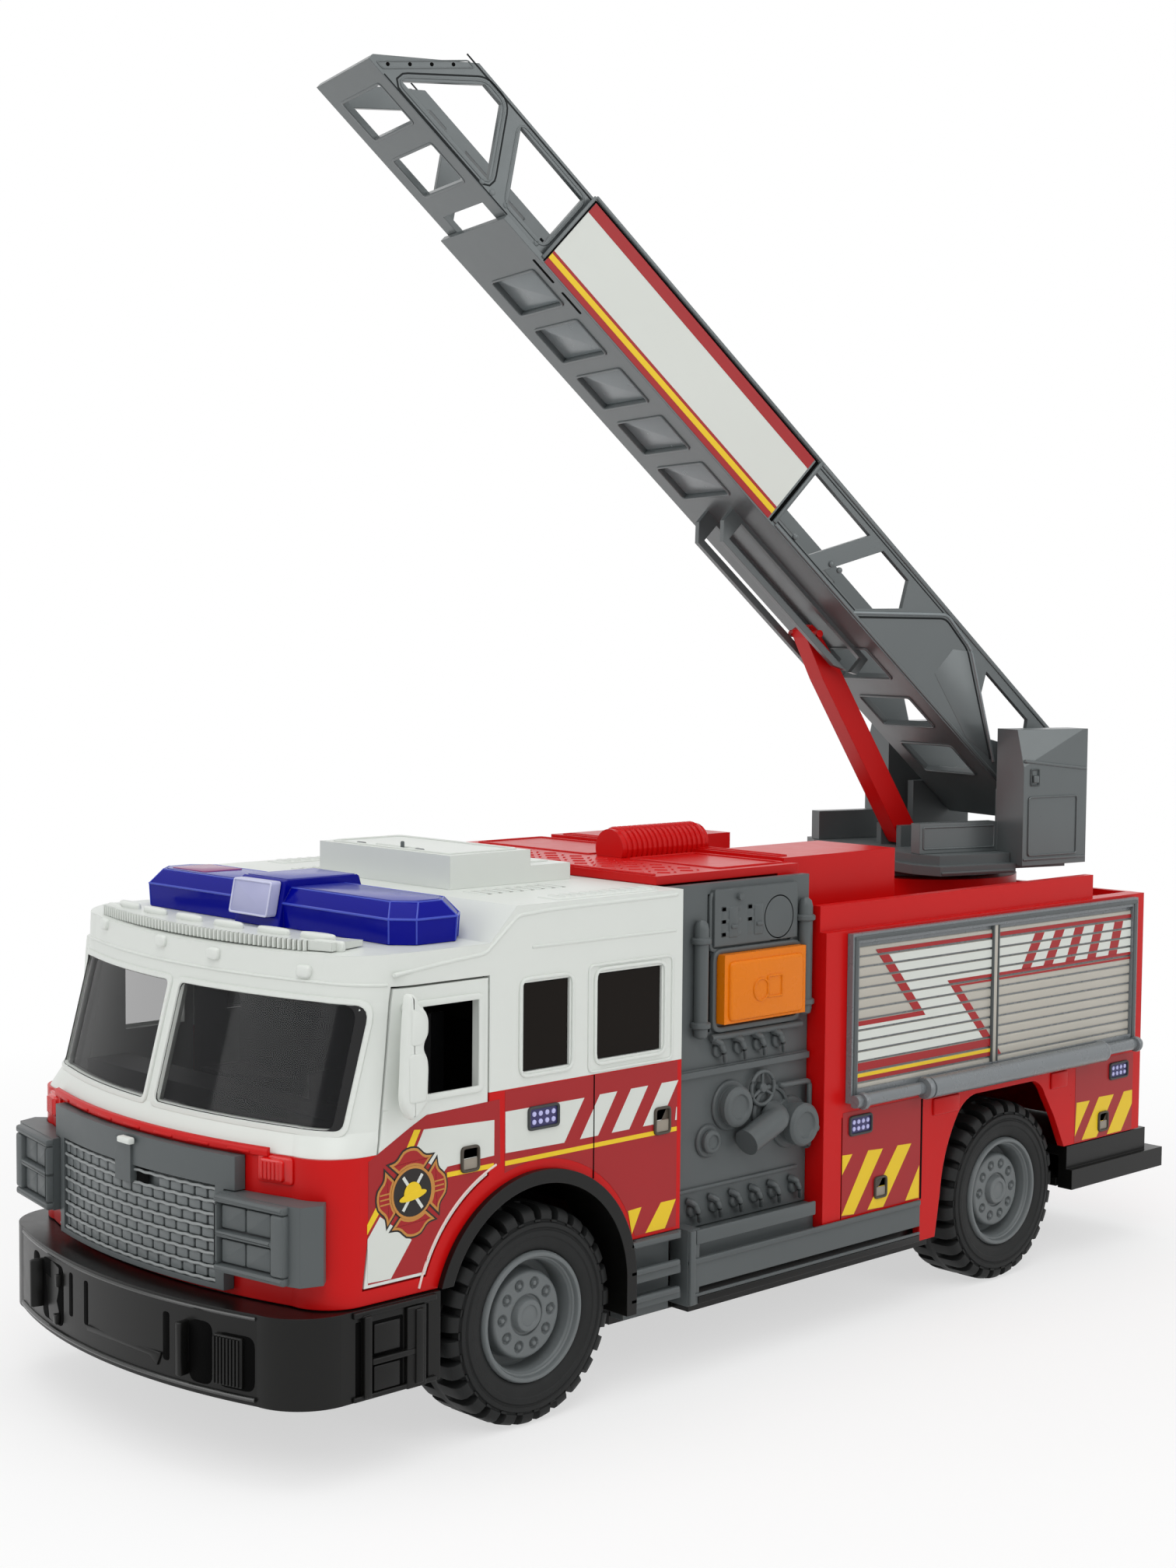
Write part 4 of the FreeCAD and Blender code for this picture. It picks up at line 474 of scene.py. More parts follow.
# each node takes the look of the longest key that its name holds
for name, node in frame["nodes"].items():
    looks = {key: look for look, keys in LOOKS for key in keys.split() if key in name}
    node.data.materials.clear()
    node.data.materials.append(looks[max(looks, key=len)])

# ---------------------------------------------------------------------------------------------
# Making pieces
# ---------------------------------------------------------------------------------------------
DOOR = "door_{}"


def piece(name, shapes, material, body="chassis", smooth=35.0):
    """One object from shapes in millimetres; edges sharper than smooth degrees stay crisp."""
    faces, start = [], 0
    for points, polygons in shapes:
        faces += [[index + start for index in polygon] for polygon in polygons]
        start += len(points)
    mesh = bpy.data.meshes.new(name)
    mesh.from_pydata((np.concatenate([points for points, _ in shapes]) * MM).tolist(), [], faces)
    mesh.materials.append(material)
    obj = bpy.data.objects.new(name, mesh)
    bpy.context.scene.collection.objects.link(obj)
    mesh.shade_smooth()
    mesh.set_sharp_from_angle(angle=math.radians(smooth))
    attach(obj, body)
    return obj


def flipped(shapes):
    """The shapes' mirror image across the toy's middle, with their faces turned to point outwards."""
    return [(points * np.array([-1.0, 1.0, 1.0]), [polygon[::-1] for polygon in faces]) for points, faces in shapes]


def both(name, shapes, material, body="chassis"):
    """A piece on the left and its mirror image on the right; body may name the side as {}."""
    return [piece(f"{name}_{hand}", some, material, body.format(hand))
            for hand, some in (("left", shapes), ("right", flipped(shapes)))]


def decal(place, outline, level=0):
    """A sticker: a thin closed plate; each level lies over the one below."""
    return relief(place, outline, 0.06, 0.01 + 0.05 * level, r=0.03, steps=2)


def stickers(name, place, outlines, look, level=0, body="chassis"):
    """Stickers of one colour and level on both sides."""
    both(name, [decal(place, outline, level) for outline in outlines], look, body)


# ---------------------------------------------------------------------------------------------
# Wheels
# ---------------------------------------------------------------------------------------------
AXLES = {"front": -90.0, "rear": 90.0}
WHEEL_Z, LUGS, NUTS = 25.5, 27, 10


def wheel_place(y):
    """Round an axle: u to the rear, v up, h is the distance from the toy's middle."""
    return lambda u, v, h: (h, y + u, WHEEL_Z + v)


def tyre(y):
    """The tyre's section, (radius, x) pairs, carried round the axle. Each shoulder sinks by a notch that
    repeats LUGS times a turn; the two shoulders are half a pitch apart."""
    section = np.array([
        (15.3, 42.0), (15.8, 41.0), (19.0, 40.4), (22.4, 40.5), (23.2, 40.8), (24.4, 41.3), (25.2, 42.2),
        (25.5, 43.4), (25.5, 46.6), (25.5, 47.6), (25.5, 48.2), (25.35, 49.4), (25.35, 49.9), (25.5, 51.0),
        (25.5, 51.6), (25.5, 52.6), (25.5, 55.6), (25.2, 57.0), (24.5, 58.0), (23.3, 58.5), (22.6, 58.5),
        (22.35, 58.2), (22.1, 58.2), (21.8, 58.8), (20.9, 58.95), (20.6, 58.6), (20.3, 58.6), (20.0, 58.95),
        (18.8, 58.95), (18.5, 58.7), (17.2, 58.6), (16.0, 58.3), (15.4, 57.8), (15.3, 57.0)])
    steps = np.array([0, .14, .17, .20, .30, .33, .36, .50, .64, .67, .70, .80, .83, .86])
    turn = (np.arange(LUGS)[:, None] + steps).ravel()
    outer, inner = (np.interp((turn + shift) % 1.0, [.30, .36, .64, .70], [0, 1, 1, 0]) for shift in (0.0, 0.5))
    r, x = section[:, :1], section[:, 1:]
    notch = np.interp(x, [51.0, 52.6], [0, 1]) * outer + np.interp(x, [46.6, 48.2], [1, 0]) * inner
    r = r - 2.6 * np.interp(r, [22.6, 23.6], [0, 1]) * notch
    angle = turn * 2 * np.pi / LUGS
    rings = put(wheel_place(y), r * np.cos(angle), r * np.sin(angle), x)
    return [skin(np.concatenate([rings, rings[:1]]), ends=False)]


def wheel_disc(y):
    """A blind bore, back, rim wall, rounded lip, deep dish and hub face carried round the axle; round
    dimples with a nut in each sink into the hub's face."""
    outer = [(0.3, 54.9), (2.1, 54.9), (2.1, 43.0), (12.6, 42.6), (15.3, 43.0), (15.3, 57.0), (15.35, 57.9),
             (15.2, 58.5), (14.9, 58.85), (14.5, 58.95), (14.1, 58.8), (13.85, 58.3), (13.8, 57.7), (13.4, 57.5),
             (13.3, 57.1), (13.1, 56.9), (12.95, 56.5), (12.8, 51.6), (12.4, 51.2), (10.8, 51.2), (10.45, 51.6),
             (10.35, 55.2), (10.2, 55.8), (9.9, 56.15)]
    inner = [(5.0, 56.3), (4.85, 56.2), (4.7, 55.7), (4.2, 55.6), (4.0, 55.9), (3.85, 56.9), (3.6, 57.25), (3.1, 57.35),
             (2.5, 57.3), (2.3, 57.0), (2.0, 56.95), (1.0, 57.05), (0.3, 57.1)]
    profile = np.array(outer + [(r, 56.3) for r in np.linspace(9.6, 5.2, 23)] + inner)
    r, h = profile[:, :1], profile[:, 1:]
    angle = np.arange(30 * NUTS) * 2 * np.pi / (30 * NUTS)
    pitch = 2 * np.pi / NUTS
    near = (angle + pitch / 2) % pitch - pitch / 2
    away = np.hypot(r - 7.5 * np.cos(near), 7.5 * np.sin(near))
    dimple = -0.75 * np.interp(away, [1.15, 1.45], [1, 0]) + 0.95 * np.interp(away, [0.55, 0.8], [1, 0])
    on_face = (h > 56.25) & (r > 5.1) & (r < 9.8)
    return [skin(put(wheel_place(y), r * np.cos(angle), r * np.sin(angle), h + on_face * dimple))]


for end, axle_y in AXLES.items():
    for name, make, look, slot in (("tyre", tyre, RUBBER, "tyre"), ("rim", wheel_disc, RIM, "rim_grey")):
        shapes = make(axle_y)
        for hand, some in (("left", shapes), ("right", flipped(shapes))):
            wheel_piece = piece(f"{name}_detail_{end}_{hand}", some, look, f"wheel_{end}_{hand}")
            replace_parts(wheel_piece, f"{name}_{end}_{hand}")


# ---------------------------------------------------------------------------------------------
# Lamp modules and grips on the sides
# ---------------------------------------------------------------------------------------------
def led_module(place, u0, u1, v0, v1):
    """A rounded frame, a dark face and two rows of four small lights."""
    dots = [lathe(place, [(0.62, 0.2), (0.6, 0.42), (0.4, 0.5), (0.1, 0.52)], 10, (u, v0 + (v1 - v0) * share))
            for u in np.linspace(u0 + 1.9, u1 - 1.9, 4) for share in (0.34, 0.67)]
    return ([rim_of(place, rect(u0, u1, v0, v1, 1.2), 0.7, 0.7)],
            [relief(place, rect(u0 + 0.6, u1 - 0.6, v0 + 0.6, v1 - 0.6), 0.22)], dots)


def latch(place, u0, u1, v0, v1):
    """A small recessed grip: a raised rim, a dark pocket above and a lighter paddle below."""
    middle = v0 + (v1 - v0) * 0.52
    return ([rim_of(place, rect(u0, u1, v0, v1, 1.3), 0.65, 0.75)],
            [relief(place, rect(u0 + 0.5, u1 - 0.5, middle, v1 - 0.6), 0.12)],
            [relief(place, rect(u0 + 0.5, u1 - 0.5, v0 + 0.6, middle), 0.34)])


def arc(r, y0, y1, n=14):
    """Points round the front axle on the upper part of a circle, from one y to another."""
    centre_y, centre_z = -90.0, 29.2
    t = np.linspace(math.acos((y0 - centre_y) / r), math.acos((y1 - centre_y) / r), n)
    return np.stack([centre_y + r * np.cos(t), centre_z + r * np.sin(t)], 1).tolist()


CAB, BODY = side(59.5), side(60.0)
leds = [led_module(CAB, -93.2, -83.4, 69.4, 75.0), led_module(BODY, 20.0, 29.4, 51.6, 57.0),
        led_module(BODY, 140.2, 150.0, 51.0, 56.2)]
grips = [latch(CAB, -52.3, -46.7, 62.4, 69.2), latch(BODY, 30.7, 35.9, 33.2, 39.2),
         latch(BODY, 134.8, 140.0, 36.2, 42.2)]

# ---------------------------------------------------------------------------------------------
# Cab: stickers, seams and window borders
# ---------------------------------------------------------------------------------------------
rear_red = [(-100.0, 79.7)] + arc(33.2, -100.0, -58.4) + [(-58.2, 39.0), (-44.2, 39.0), (-44.2, 79.7)]
stickers("cab_sticker_red", CAB, [rear_red], FOIL_RED)
slashes = [[(y, 74.9), (y + 5.7, 74.9), (y - 0.5, 65.2), (y - 6.3, 65.2)] for y in (-70.3, -60.0, -49.6)]
stickers("cab_sticker_white", CAB, slashes + [
    [(-99.9, 74.9), (-75.3, 74.8), (-81.6, 65.1), (-99.8, 65.4)],
    [(-44.9, 65.2), (-44.3, 65.2), (-44.3, 68.4), (-44.5, 68.4)]], FOIL_WHITE, 1)
stickers("cab_sticker_yellow", CAB, [rect(-99.9, -44.3, 62.5, 63.6), [(-60.6, 45.5), (-56.1, 45.7), (-59.3, 39.6)],
                                     [(-49.5, 45.7), (-44.3, 45.7), (-48.0, 39.1), (-54.7, 39.1)]], FOIL_YELLOW, 1)
for name, parts, part, look in (
        ("lamp_frames", leds, 0, DARK_GREY), ("grip_rims", grips, 0, GRIP_RIM), ("lamp_faces", leds, 1, LED_FACE),
        ("lamp_dots", leds, 2, LED_DOT), ("grip_pockets", grips, 1, GRIP_DARK), ("grip_paddles", grips, 2, GRIP_LIGHT)):
    both("side_" + name, sum((shapes[part] for shapes in parts), []), look)
both("crew_door_seams", [relief(CAB, rect(-72.35, -72.0, 55.2, 79.8), 0.20, -0.02, 0.05, 2)], PIT)
both("crew_door_border", [rim_of(CAB, rect(-74.4, -46.0, 80.2, 106.0, 2.0), 0.7, 0.4)], WHITE)
shoulder = [(-132.0, 109.0), (-118.7, 110.4), (-105.9, 111.4), (-96.2, 119.2), (-86.0, 119.8), (-44.7, 120.2)]
both("cab_shoulder_ridge", [tube(bent([(59.3, y, z) for y, z in shoulder], 1.5), 0.5, 10)], WHITE)
both("crew_window_borders", [rim_of(CAB, rect(y0, y1, 81.8, 105.0, 3.0), 0.9, 0.5)
                             for y0, y1 in ((-96.0, -78.8), (-72.5, -48.4))], WHITE)

# ---------------------------------------------------------------------------------------------
# Door: a white panel with stickers, a badge and a grip
# ---------------------------------------------------------------------------------------------
door_red = [(-139.0, 69.4), (-127.3, 75.4), (-122.9, 77.4), (-101.6, 78.0), (-101.3, 63.4)]
door_red += arc(36.0, -101.3, -124.9, 12) + [(-126.0, 38.9), (-139.0, 38.9)]
stickers("door_sticker_red", CAB, [[(y, max(z, 42.6)) for y, z in door_red]], FOIL_RED, 0, DOOR)
stickers("door_sticker_white", CAB, [
    [(-123.7, 74.3), (-103.2, 73.5), (-103.2, 65.4), (-116.9, 65.0), (-118.1, 63.8), (-126.4, 69.4)],
    [(-135.8, 57.0), (-139.2, 52.6), (-139.2, 43.0), (-132.8, 42.8), (-127.0, 50.4)]], FOIL_WHITE, 1, DOOR)
stickers("door_sticker_yellow", CAB, [
    [(-126.4, 74.6), (-124.6, 74.4), (-127.0, 70.0), (-129.0, 70.0)],
    [(-136.9, 59.2), (-136.0, 57.8), (-139.3, 53.6), (-139.3, 55.8)],
    rect(-117.0, -103.3, 62.6, 63.7)], FOIL_YELLOW, 1, DOOR)
margin = [(59.58, y, z) for y, z in arc(36.3, -102.6, -124.9, 30)]
both("door_sticker_margin", [tube(margin, 0.3, 6)], FOIL_MARGIN, DOOR)
BADGE, BADGE_TURN = (-127.0, 60.9), math.radians(3.0)


def badge_arms(grow):
    """Four flared arms: tips at 40 degrees either side of the arm's middle, a dip beside each tip, and a
    bulge between the dips; grow moves every edge outwards."""
    degrees = np.array([-40, -35, -30, -24, -18, -12, -6, 0, 6, 12, 18, 24, 30, 35, 40, 36, 24, 12, 0, -12, -24, -36])
    reach = np.array([9.4, 8.9, 8.6, 8.65, 9.1, 9.6, 9.75, 9.8, 9.75, 9.6, 9.1, 8.65, 8.6, 8.9, 9.4] + [5.9] * 7)
    arm = shrunk(reach[:, None] * np.stack([np.cos(np.radians(degrees)), np.sin(np.radians(degrees))], 1), -grow)
    return [spun(arm, k * np.pi / 2 + BADGE_TURN, BADGE) for k in range(4)]


badge_bars = [spun(rect(6.3, 9.0, lift - 0.16, lift + 0.16), k * np.pi + BADGE_TURN, BADGE)
              for k in (0, 1) for lift in (-1.1, 0.0, 1.1)]
badge_tools = [spun(rect(-4.6, 4.6, -0.38, 0.38), angle, BADGE) for angle in (0.95, 2.2)]
dome = [(BADGE[0] + 2.5 * math.cos(a), 60.6 + 2.7 * math.sin(a)) for a in np.linspace(0, np.pi, 15)]
brim = [(BADGE[0] + 3.822 * math.cos(a), 60.2 + 0.95 * math.sin(a) + 0.55 * math.cos(a))
        for a in np.arange(24) * np.pi / 12]
for name, outlines, look in (
        ("edge", [(a, 2) for a in badge_arms(0.4)] + [(disc(*BADGE, 6.2, 40), 2)], FOIL_BLACK),
        ("gold", [(a, 3) for a in badge_arms(0.0)] + [(disc(*BADGE, 5.9, 40), 5)], FOIL_GOLD),
        ("arms", [(a, 4) for a in badge_arms(-0.55)], FOIL_RED), ("bars", [(a, 5) for a in badge_bars], FOIL_GOLD),
        ("disc", [(disc(*BADGE, 5.3, 40), 6)], FOIL_BLACK), ("tools", zip(badge_tools, (7, 8)), FOIL_WHITE),
        ("helmet", [(dome, 9), (brim, 10)], FOIL_YELLOW)):
    both("door_badge_" + name, [decal(CAB, outline, level) for outline, level in outlines], look, DOOR)
for name, shapes, look in zip(("rim", "pocket", "paddle"), latch(CAB, -113.2, -107.7, 62.8, 68.8),
                              (GRIP_RIM, GRIP_DARK, GRIP_LIGHT)):
    both("door_grip_" + name, shapes, look, DOOR)
both("door_window_border", [rim_of(CAB, rect(-126.7, -106.7, 80.5, 102.9, 1.8), 1.5, 0.55, 0.0, 0.25)], WHITE, DOOR)

# ---------------------------------------------------------------------------------------------
# Nose: grille, headlamps, marker lamps, ledge
# ---------------------------------------------------------------------------------------------
GRILLE = bowed(37.0, -157.8, 4.2)
NOSE = bowed(49.0, -151.4, 7.8)
GRILLE_FOOT, GRILLE_STEP, PAD_STEP = 41.2, 2.9, 4.15


def grille_pads():
    """Rows of flat rounded pads between the bars, each row set half a pad aside."""
    shapes = []
    for k in range(8):
        v0 = GRILLE_FOOT + GRILLE_STEP * k + 0.4
        for j in range(18):
            u0 = -33.6 + PAD_STEP * j - (2.07 if k % 2 else 0.0)
            ends = max(u0, -33.4), min(u0 + 3.6, 33.4)
            behind_cap = k >= 6 and ends[0] < 8.7 and ends[1] > -3.4
            if ends[1] - ends[0] > 0.8 and not behind_cap:
                shapes.append(relief(GRILLE, rect(*ends, v0, min(v0 + 2.1, 62.4), 0.4, 2), 0.75, -1.5, 0.3, 3))
    return shapes


u = np.linspace(-35.4, 33.6, 139)
ripple = 0.08 * np.sin(u * 2 * np.pi / PAD_STEP)
# painted highlight: the bars in a lighter grey than the grille
piece("grille_bars", [tube(put(GRILLE, u, GRILLE_FOOT + GRILLE_STEP * k + ripple, -0.62), 0.38, 8) for k in range(8)],
      GRILLE_BAR_HIGHLIGHT)
# painted light: the pads in a lighter grey than the grille behind them
piece("grille_pads", grille_pads(), GRILLE_PAD_LIT)
piece("grille_shadow", [relief(GRILLE, rect(-35.6, -33.8, 40.8, 62.6), 0.08, -1.2),
                        relief(GRILLE, rect(4.0, 8.7, 58.8, 63.1, 0.4), 0.08, -0.6)], PIT)
piece("grille_cap", [block(GRILLE, (-0.1, 4.8), (67.5, 69.0), (0.6, 2.2), 0.5)], WHITE)


def lamp_place(u, v, h):
    """The slanting front of a headlamp: u outwards along it, v up."""
    return 34.3 + 0.985 * u + 0.172 * h, -160.2 + 0.172 * u - 0.985 * h, v


both("headlamp_bars", blocks(lamp_place, [(*spot, -0.1, 1.8, 0.7) for spot in (
    (0.0, 20.9, 44.7, 46.5), (0.0, 20.9, 59.9, 61.7), (0.0, 17.4, 52.4, 54.0), (0.0, 1.2, 46.5, 59.9),
    (17.0, 20.9, 46.5, 59.9))]), GREY)
both("headlamp_shadow", [relief(lamp_place, rect(1.0, 17.2, 46.3, 60.0), 0.10, -0.06)], DARK_GREY)
both("headlamp_squares", [relief(lamp_place, rect(*across, *up, 0.5, 3), 0.75, 0.0, 0.4)
                          for across in ((1.7, 8.8), (9.1, 16.3)) for up in ((46.9, 52.0), (54.4, 59.5))], GREY)
lens_ribs = [wedge(NOSE, [(u, 1.5), (u + 0.8, 1.5), (u + 0.6, 2.1), (u + 0.2, 2.1)], (65.6, 69.4))
             for u in np.linspace(42.8, 47.0, 5)]
both("marker_lamp", [relief(NOSE, rect(41.0, 50.4, 64.4, 70.4, 1.0), 0.7, 0.0, 0.4),
                     relief(NOSE, rect(42.2, 48.4, 65.0, 70.0, 1.0), 1.1, 0.6, 0.6)] + lens_ribs, LENS_RED)
ledge = [(69.9, 0.0), (69.9, 0.5), (70.2, 0.9), (71.2, 1.0), (71.8, 0.7), (72.0, 0.0)]
ledge_marks = [relief(NOSE, rect(u - 3.2, u + 3.2, 70.35, 71.05, 0.34, 3), 0.35, 0.9, 0.2)
               for u in np.linspace(-36, 36, 7)]
piece("nose_ledge", [carried(NOSE, np.linspace(-44.0, 44.0, 45), ledge)] + ledge_marks, RED)

# ---------------------------------------------------------------------------------------------
# Front bumper
# ---------------------------------------------------------------------------------------------
BUMPER, BUMPER_SIDE = bowed(48.5, -160.2, 7.8), side(60.6)
# painted shade: thin near-black marks where the bumper's slots and recesses lie in shadow
piece("bumper_slot_shade", [relief(BUMPER, rect(a, b, c, d, min(2.4, (b - a) * 0.4)), 0.08, -0.02, 0.03) for a, b, c, d in (
    (-38.6, -33.8, 22.0, 35.2), (-31.6, -18.8, 21.0, 35.4), (-15.6, -13.8, 24.8, 35.0), (-8.2, -6.4, 24.6, 34.8),
    (22.2, 24.2, 23.4, 34.2), (30.4, 37.2, 20.4, 34.2), (38.6, 48.8, 20.8, 32.8))], PIT)
fittings = blocks(BUMPER, [(-33.2, -31.4, 23.0, 34.4, 0.0, 3.0, 0.5), (28.6, 30.2, 21.6, 33.6, 0.0, 2.6, 0.5),
                           (-21.4, -19.8, 30.4, 33.4, 0.0, 1.2, 0.4), (-22.6, -20.6, 21.4, 23.8, 0.0, 1.2, 0.4),
                           (38.2, 46.0, 21.4, 32.4, 0.0, 0.9)])
fittings += [wedge(BUMPER, [(u, 0.0), (u + 0.7, 0.0), (u + 0.6, 1.5), (u + 0.1, 1.5)], (21.8, 32.0))
             for u in 38.4 + 0.92 * np.arange(8)]
hook_plate = [(-6.2, 23.6), (18.0, 23.6), (20.6, 21.8), (21.8, 24.4), (21.8, 24.9), (-6.2, 24.9)]
piece("bumper_fittings", fittings + [relief(BUMPER, hook_plate, 0.5, 0.0, 0.25)], BLACK)
# painted highlight: the lips in a lighter, glossier black than the bumper
piece("bumper_lips", [tube(put(BUMPER, np.linspace(-49.0, 49.0, 61), v, h), r, 8)
                      for v, h, r in ((19.4, 0.1, 0.55), (36.9, -0.15, 0.5))], BUMPER_LIP_HIGHLIGHT)
both("bumper_side_shadow", marks(BUMPER_SIDE, [(-143.2, -141.8, 19.0, 35.4, 0.3), (-139.2, -130.2, 18.8, 34.8, 0.5),
                                               (-124.0, -123.0, 18.4, 35.8, 0.2)]), PIT)
both("bumper_side_bars", blocks(BUMPER_SIDE, [
    (-141.6, -139.6, 18.6, 36.6, 0.0, 1.4), (-138.4, -131.2, 27.6, 34.2, 0.05, 0.4),
    (-138.4, -131.2, 19.4, 25.0, 0.05, 0.4), (-139.4, -127.6, 25.6, 27.0, 0.0, 1.3),
    (-129.6, -124.2, 18.0, 36.2, 0.0, 0.9), (-127.6, -125.4, 19.0, 35.6, 0.8, 1.6),
    (-144.0, -121.0, 36.3, 37.7, 0.0, 0.7), (-144.0, -121.0, 18.1, 19.3, 0.0, 0.7)]), BLACK)

# ---------------------------------------------------------------------------------------------
# Sills, steps and rear wheel arch
# ---------------------------------------------------------------------------------------------
SILL = side(60.4)
both("sill_lines", blocks(SILL, [(-40.5, 50.0, 28.6, 30.0, 0.0, 0.6), (-40.5, 50.0, 20.4, 21.2, 0.0, 0.4, 0.2),
                                 (-40.5, -38.6, 18.6, 37.2, 0.0, 0.9), (-38.0, 6.4, 33.4, 37.0, 0.0, 0.5)]), GREY)
both("sill_foot", blocks(SILL, [(-37.0, 50.0, 18.5, 20.3, 0.0, 0.3, 0.1)]), BLACK)
both("step_nosings", blocks(side(60.2), [(-61.0, -44.0, z, z + 1.5, 0.0, 1.0, 0.4) for z in (36.4, 29.6, 22.9)]), GREY)
both("rear_seams", marks(BODY, [(50.4, 51.2, 30.0, 57.6, 0.2), (17.2, 17.5, 30.0, 57.0)]), PIT)
both("rear_pads", blocks(BODY, [(y0, y1, 52.2, 57.0, 0.0, 0.6, 0.5) for y0, y1 in ((55.5, 67.0), (110.4, 118.4))]), RED)

# ---------------------------------------------------------------------------------------------
# Rear body: stickers on the sides, slatted shutter with its graphics
# ---------------------------------------------------------------------------------------------
stickers("body_sticker_red", BODY, [rect(17.6, 50.2, 30.4, 58.2), rect(123.0, 153.0, 34.6, 58.2)], FOIL_RED)
stickers("body_sticker_yellow", BODY, [
    [(17.6, 47.0), (21.7, 46.8), (17.6, 41.8)], [(28.2, 46.8), (34.3, 46.4), (22.6, 30.6), (17.6, 31.0)],
    [(40.5, 46.3), (46.4, 46.0), (34.8, 30.5), (28.2, 30.8)], [(50.0, 39.4), (50.0, 30.5), (44.2, 30.6)],
    [(123.8, 46.5), (130.5, 46.3), (123.2, 36.6)], [(135.2, 46.7), (143.0, 46.5), (134.4, 34.8), (126.8, 35.0)],
    [(148.4, 46.6), (152.8, 46.6), (152.8, 42.4), (147.2, 34.8), (139.8, 34.8)]], FOIL_YELLOW, 1)

SHUTTER, SHUTTER_EDGE, ON_SLATS = side(60.7), side(61.9), side(61.06)
SLAT, SLAT_FIRST, SLAT_COUNT = 2.78, 63.15, 14
SHUTTER_ENDS = [(21.2, 79.7), (81.9, 148.4)]


def clip(outline, v0, v1):
    """The part of a convex outline between two heights."""
    for sign, limit in ((1, v0), (-1, -v1)):
        kept = []
        for a, b in zip(outline, np.roll(outline, -1, 0)):
            da, db = sign * a[1] - limit, sign * b[1] - limit
            if da >= 0:
                kept.append(a)
            if da * db < 0:
                kept.append(a + (b - a) * da / (da - db))
        if len(kept) < 3:
            return None
        outline = np.array(kept)
    return outline


def on_slats(outline):
    """A convex sticker cut to each slat's face."""
    found = []
    for k in range(SLAT_COUNT):
        for u0, u1 in SHUTTER_ENDS:
            part = clip(ccw(outline), SLAT_FIRST + k * SLAT + 0.12, SLAT_FIRST + (k + 1) * SLAT - 0.52)
            part = part if part is None else clip(part[:, ::-1], u0 + 0.1, u1 - 0.1)
            if part is not None and min(np.ptp(part, 0)) > 0.25:
                found.append(part[:, ::-1])
    return found


def shutter_stickers(name, outlines, look, level):
    """Stickers cut where the gaps between slats and the shutter's ends cut them."""
    stickers(name, ON_SLATS, [part for outline in outlines for part in on_slats(outline)], look, level)


both("shutter_slats", [
    relief(SHUTTER, rect(*ends, SLAT_FIRST + k * SLAT, SLAT_FIRST + (k + 1) * SLAT - 0.42), 0.8, -0.4, 0.45, 4)
    for ends in SHUTTER_ENDS for k in range(SLAT_COUNT)], SLAT_SILVER)
both("shutter_shadow", [relief(SHUTTER, rect(19.6, 150.0, 62.6, 103.8), 0.06, -0.42)], PIT)
shutter_stickers("shutter_white", [
    [(34.2, 98.7), (50.1, 80.9), (67.3, 80.9), (59.5, 89.2), (50.6, 98.7)],
    [(50.6, 98.7), (59.5, 89.1), (148.4, 89.1), (148.4, 98.7)],
    [(20.9, 80.9), (20.9, 71.0), (76.7, 71.0), (67.3, 80.9)]], FOIL_WHITE, 1)
shutter_stickers("shutter_red", [
    [(28.6, 100.5), (34.2, 98.6), (148.4, 98.6), (148.4, 100.5)],
    [(28.6, 100.4), (45.4, 82.1), (50.1, 80.8), (34.2, 98.6)],
    [(20.9, 82.2), (20.9, 80.8), (50.1, 80.8), (45.4, 82.2)],
    [(59.5, 89.2), (65.0, 87.1), (148.4, 87.0), (148.4, 89.1)],
    [(59.5, 89.2), (81.3, 65.9), (84.8, 65.9), (65.0, 87.1)],
    [(20.9, 71.1), (20.9, 65.5), (82.0, 65.5), (76.6, 71.1)]]
    + [[(low, 89.0), (low + 4.4, 89.0), (high + 4.6, 98.8), (high, 98.8)] for low, high in (
        (93.4, 99.7), (104.0, 109.6), (114.8, 119.4), (125.7, 129.5), (136.6, 139.6))], FOIL_RED, 2)
shutter_stickers("shutter_yellow", [rect(20.9, 79.6, 67.2, 68.4)], FOIL_YELLOW, 3)
both("shutter_upright", blocks(SHUTTER, [(79.9, 81.7, 63.6, 103.0, -0.4, 1.0, 0.4)]), SLAT_SILVER)
both("shutter_upright_lips", blocks(SHUTTER, [(79.4, 79.9, 63.6, 103.0, -0.4, 1.2, 0.15),
                                              (81.7, 82.2, 63.6, 103.0, -0.4, 1.2, 0.15)]), GREY)
both("shutter_ribs", blocks(SHUTTER_EDGE, [(19.2, 150.2, 103.6, 104.7, 0.0, 0.5), (19.2, 20.6, 61.4, 104.6, 0.0, 0.4),
                                           (148.6, 150.2, 61.4, 104.6, 0.0, 0.4)]), GREY)
# rings round the tube along the shutter's foot: short tubes a little wider than it
collars = ((20.6, 22.2, 2.3), (46.6, 48.8, 3.1), (129.4, 131.6, 3.1), (147.8, 149.4, 2.3))
both("tube_collars", [tube([(63.6, y, 61.5) for y in np.linspace(y0, y1, 4)], r * np.array([0.9, 1, 1, 0.9]), 20)
                      for y0, y1, r in collars], SILVER)

# ---------------------------------------------------------------------------------------------
# Pump panel
# ---------------------------------------------------------------------------------------------
PUMP, BUTTON = side(54.0), side(57.4)
CLOCK = (-3.1, 111.2)


def on_pump(points, radius, n=12, closed=False):
    """A tube through (u, v, h) points on the panel."""
    return tube([PUMP(*point) for point in points], radius, n, closed)


